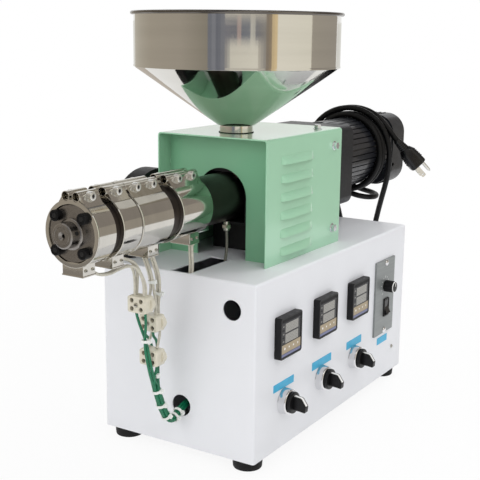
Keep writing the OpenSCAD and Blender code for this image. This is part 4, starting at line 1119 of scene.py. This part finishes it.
def add_plug():
    back, tip = Vector(TAIL[-1]), PLUG_WAY
    side, up = across(tip)
    ribs = ribbed(5, 1, 3, 5.3, 0.4, ((0, 0), (1.7, 0.15), (1.9, -0.7), (2.8, -0.6)))
    plug = Shape("gloss_black").lathe(back, tip, [(-2, 4.6), (0, 5.2), *ribs, (17, 7), (17, 2)], 36)
    plug.loft([[back + tip * along + side * a + up * b for a, b in rounded(w, h, r, 6)]
               for along, w, h, r in PLUG_RINGS])
    for s, k in product(SIDES, range(GRIPS)):
        grip = back + tip * (24 + GRIP_PITCH * k) + up * s * (11 + 0.32 * k)
        plug.sweep([grip - side * 5, grip + side * 5], 0.7, 8)
    plug.use("nickel")
    edge = rounded(6.4, 17, 1.2, 3)
    hole = [(a, b + 4.4) for a, b in rounded(3, 3, 1.5, 3)]
    for s in SIDES:
        root = back + tip * 55.5 - up * 4.5 + side * s * BLADE_GAP
        rims = ((edge, -BLADE_HALF), (edge, BLADE_HALF), (hole, BLADE_HALF), (hole, -BLADE_HALF))
        plug.loft([[root + up * a + tip * b + side * c for a, b in rim] for rim, c in rims], loop=True)
    plug.lathe(back + up * 7, tip, [(46, 2.4), (62, 2.4), (64.8, 1.6), (66, 0.5)], 24)
    return plug.piece("mains_plug", "cord_rubber", "plug")


def add_mains():
    """Gland, plug and the cord around the motor between them."""
    gland, plug = add_gland(), add_plug()
    line = smooth([GLAND + X * 20] + RISER) + coil_line() + smooth(TAIL)
    add_cord("mains_cord", line, CORD_D, "cord_rubber",
             ["cord_riser", "cord_coil", "cord_tail"])


for solid_name, solid_looks in DRESSED.items():
    dress(solid_name, *solid_looks)
add_cabinet()
add_feet()
add_hood()
add_hopper()
add_die()
for heater in range(4):
    add_heater(heater)
add_probe()
add_feed_block()
add_motor()
add_cowl_ribs()
add_drive_screws()
add_fan()
add_blower()
for column in (1, 2, 3):
    add_controller(column)
    add_selector(column)
add_speed_plate()
add_speed_dial()
add_rocker()
add_labels()
add_leads([add_terminal_block(block) for block in (1, 2, 3)])
add_ties()
add_mains()


# Studio, in metres
AMBIENT = 0.70
FLOOR_REACH = 6.0


def seen(tree):
    """1 for camera, glossy and transmission rays, or else 0."""
    path = tree.add("LightPath", {})
    total = path.outputs["Is Camera Ray"]
    for kind in ("Is Glossy Ray", "Is Transmission Ray"):
        both = {0: total, 1: path.outputs[kind]}
        total = tree.add("Math", both, operation="ADD", use_clamp=True).outputs["Value"]
    return total


def add_world():
    scene.world = bpy.data.worlds.new("studio")
    tree = Tree(scene.world)
    strength = tree.ranged(seen(tree), 0, 1, AMBIENT, 1)
    tree.fill(tree.nodes["Background"], {"Color": (1, 1, 1, 1), "Strength": strength})


def add_lamp(name, place, target, size, power, mirrored=True):
    data = bpy.data.lights.new(name, "AREA")
    data.size = size
    data.energy = power
    lamp = put(name, data)
    lamp.location = place
    lamp.visible_glossy = mirrored
    lamp.rotation_euler = (Vector(target) - Vector(place)).to_track_quat("-Z", "Y").to_euler()


def add_stage(name, points, faces):
    """A mesh that isn't part of the machine, with a material of its own."""
    mesh = bpy.data.meshes.new(name)
    mesh.from_pydata(points, [], faces)
    mesh.materials.append(bpy.data.materials.new(name))
    made = put(name, mesh)
    return made, Tree(mesh.materials[0])


def add_floor():
    """A pale floor that keeps the object's shadow and goes over into the white background."""
    corners = [(x * FLOOR_REACH, y * FLOOR_REACH, 0) for x, y in ((-1, -1), (1, -1), (1, 1), (-1, 1))]
    _, tree = add_stage("floor", corners, [range(4)])
    place = tree.add("NewGeometry", {}).outputs["Position"]
    away = tree.add("VectorMath", {0: place}, operation="LENGTH").outputs["Value"]
    glowing = {0: seen(tree), 1: tree.ranged(away, 0.35, 1.1, 0.90, 1.0)}
    share = tree.add("Math", glowing, operation="MULTIPLY").outputs["Value"]
    pale = {"Base Color": (0.86, 0.86, 0.86, 1), "Roughness": 0.9}
    shader = tree.fill(tree.nodes["Principled BSDF"], pale).outputs["BSDF"]
    glow = tree.add("Emission", {}).outputs["Emission"]
    mix = tree.add("MixShader", {"Fac": share, 1: shader, 2: glow}).outputs["Shader"]
    tree.fill(tree.nodes["Material Output"], {"Surface": mix})


def add_card(name, points, faces, colors):
    """A card of flat colours that only polished surfaces show, one colour a face."""
    card, tree = add_stage(name, points, faces)
    shades = card.data.attributes.new("shade", "FLOAT_COLOR", "FACE")
    for shade, color in zip(shades.data, colors):
        shade.color = (*color, 1)
    color = tree.add("Attribute", {}, attribute_name="shade").outputs["Color"]
    glow = tree.add("Emission", {"Color": color}).outputs["Emission"]
    tree.fill(tree.nodes["Material Output"], {"Surface": glow})
    for kind in ("camera", "diffuse", "shadow", "transmission"):
        setattr(card, "visible_" + kind, False)


# Room that polished steel shows, in stretches of wall and of floor just above the real one
STEEL = 0.67
WALL_R = 1.3
CEILING_Z = 2.0
GROUND_Z = 0.0015


def wall(low, high):
    """Foot and head of a stretch of wall: distance and height."""
    return (WALL_R, low), (WALL_R, high)


def ground(near, far):
    return (near, GROUND_Z), (far, GROUND_Z)


FULL, LOW, HIGH, TOP = wall(0, 1.6), wall(0, 0.462), wall(0.462, 0.506), wall(0.506, 1.6)
# Each stretch: first and last azimuth, reach, first and last tone as the steel shows it
ROOM = (
    (-10, 66, wall(0.36, 0.50), (193, 192, 188), (193, 192, 188)),
    (66, 110, FULL, (166, 161, 151), (150, 143, 132)), (110, 152, FULL, (150, 143, 132), (146, 139, 129)),
    (152, 182, FULL, (146, 139, 129), (127, 121, 111)),
    (182, 186, FULL, (100, 102, 111), (112, 114, 122)),
    (186, 190, FULL, (122, 123, 130), (112, 114, 122)), (190, 195, FULL, (99, 101, 110), (106, 108, 116)),
    (195, 199, FULL, (118, 119, 125), (108, 109, 117)), (199, 211, HIGH, (112, 112, 120), (98, 99, 108)),
    (211, 215, HIGH, (162, 140, 136), (140, 130, 130)), (215, 224, HIGH, (98, 102, 113), (106, 109, 118)),
    (224, 229, HIGH, (176, 174, 168), (160, 158, 153)),
    (229, 240, HIGH, (106, 107, 114), (128, 124, 120)), (199, 240, TOP, (176, 172, 164), (170, 165, 156)),
    (199, 204, LOW, (128, 126, 126), (170, 167, 160)), (204, 232, LOW, (190, 186, 176), (198, 194, 184)),
    (232, 240, LOW, (176, 171, 161), (132, 128, 124)), (240, 246, FULL, (120, 112, 104), (136, 122, 104)),
    (246, 252, FULL, (180, 162, 130), (200, 179, 142)),
    (252, 295, FULL, (206, 202, 192), (201, 197, 186)),
    (295, 348, wall(0, 0.55), (146, 140, 131), (138, 132, 124)),
    (295, 361, wall(0.55, 1.6), (124, 118, 112), (128, 122, 116)),
    (36, 64, ground(0.95, 3.0), (165, 158, 150), (165, 158, 150)),
    (110, 180, ground(0.7, 1.29), (124, 119, 113), (124, 119, 113)),
)


def add_room():
    """Walls in upright stripes, stretches of darker floor and a grey ceiling."""
    points, faces, colors = [], [], []
    for start, end, (near, far), first_tone, last_tone in ROOM:
        count = max(1, round((end - start) / 3))
        for k in range(count):
            a, b = (radians(start + (end - start) * n / count) for n in (k, k + 1))
            corners = ((near, a), (near, b), (far, b), (far, a))
            first = len(points)
            points += [(r * cos(t), r * sin(t), z) for (r, z), t in corners]
            faces.append(range(first, first + 4))
            tone = [p + (q - p) * (k + 0.5) / count for p, q in zip(first_tone, last_tone)]
            colors.append([min(1, c / STEEL) for c in linear(*tone)])
    add_card("walls", points, faces, colors)
    corners = [(x, y, CEILING_Z) for x, y in circle(WALL_R, 12)]
    add_card("ceiling", corners, [range(12)], [linear(128, 125, 120)])


add_world()
add_floor()
add_lamp("key", (-0.9, -1.5, 1.7), (0, 0, 0.25), 1.3, 8.5)
add_lamp("fill", (-1.7, 0.3, 1.1), (0, 0, 0.25), 1.2, 8.5)
add_lamp("side", (1.2, -0.6, 1.9), (0.15, 0, 0.22), 1.2, 8.5, mirrored=False)
add_lamp("end", (1.6, 0.1, 1.0), (0.2, 0, 0.22), 0.9, 6, mirrored=False)
add_room()
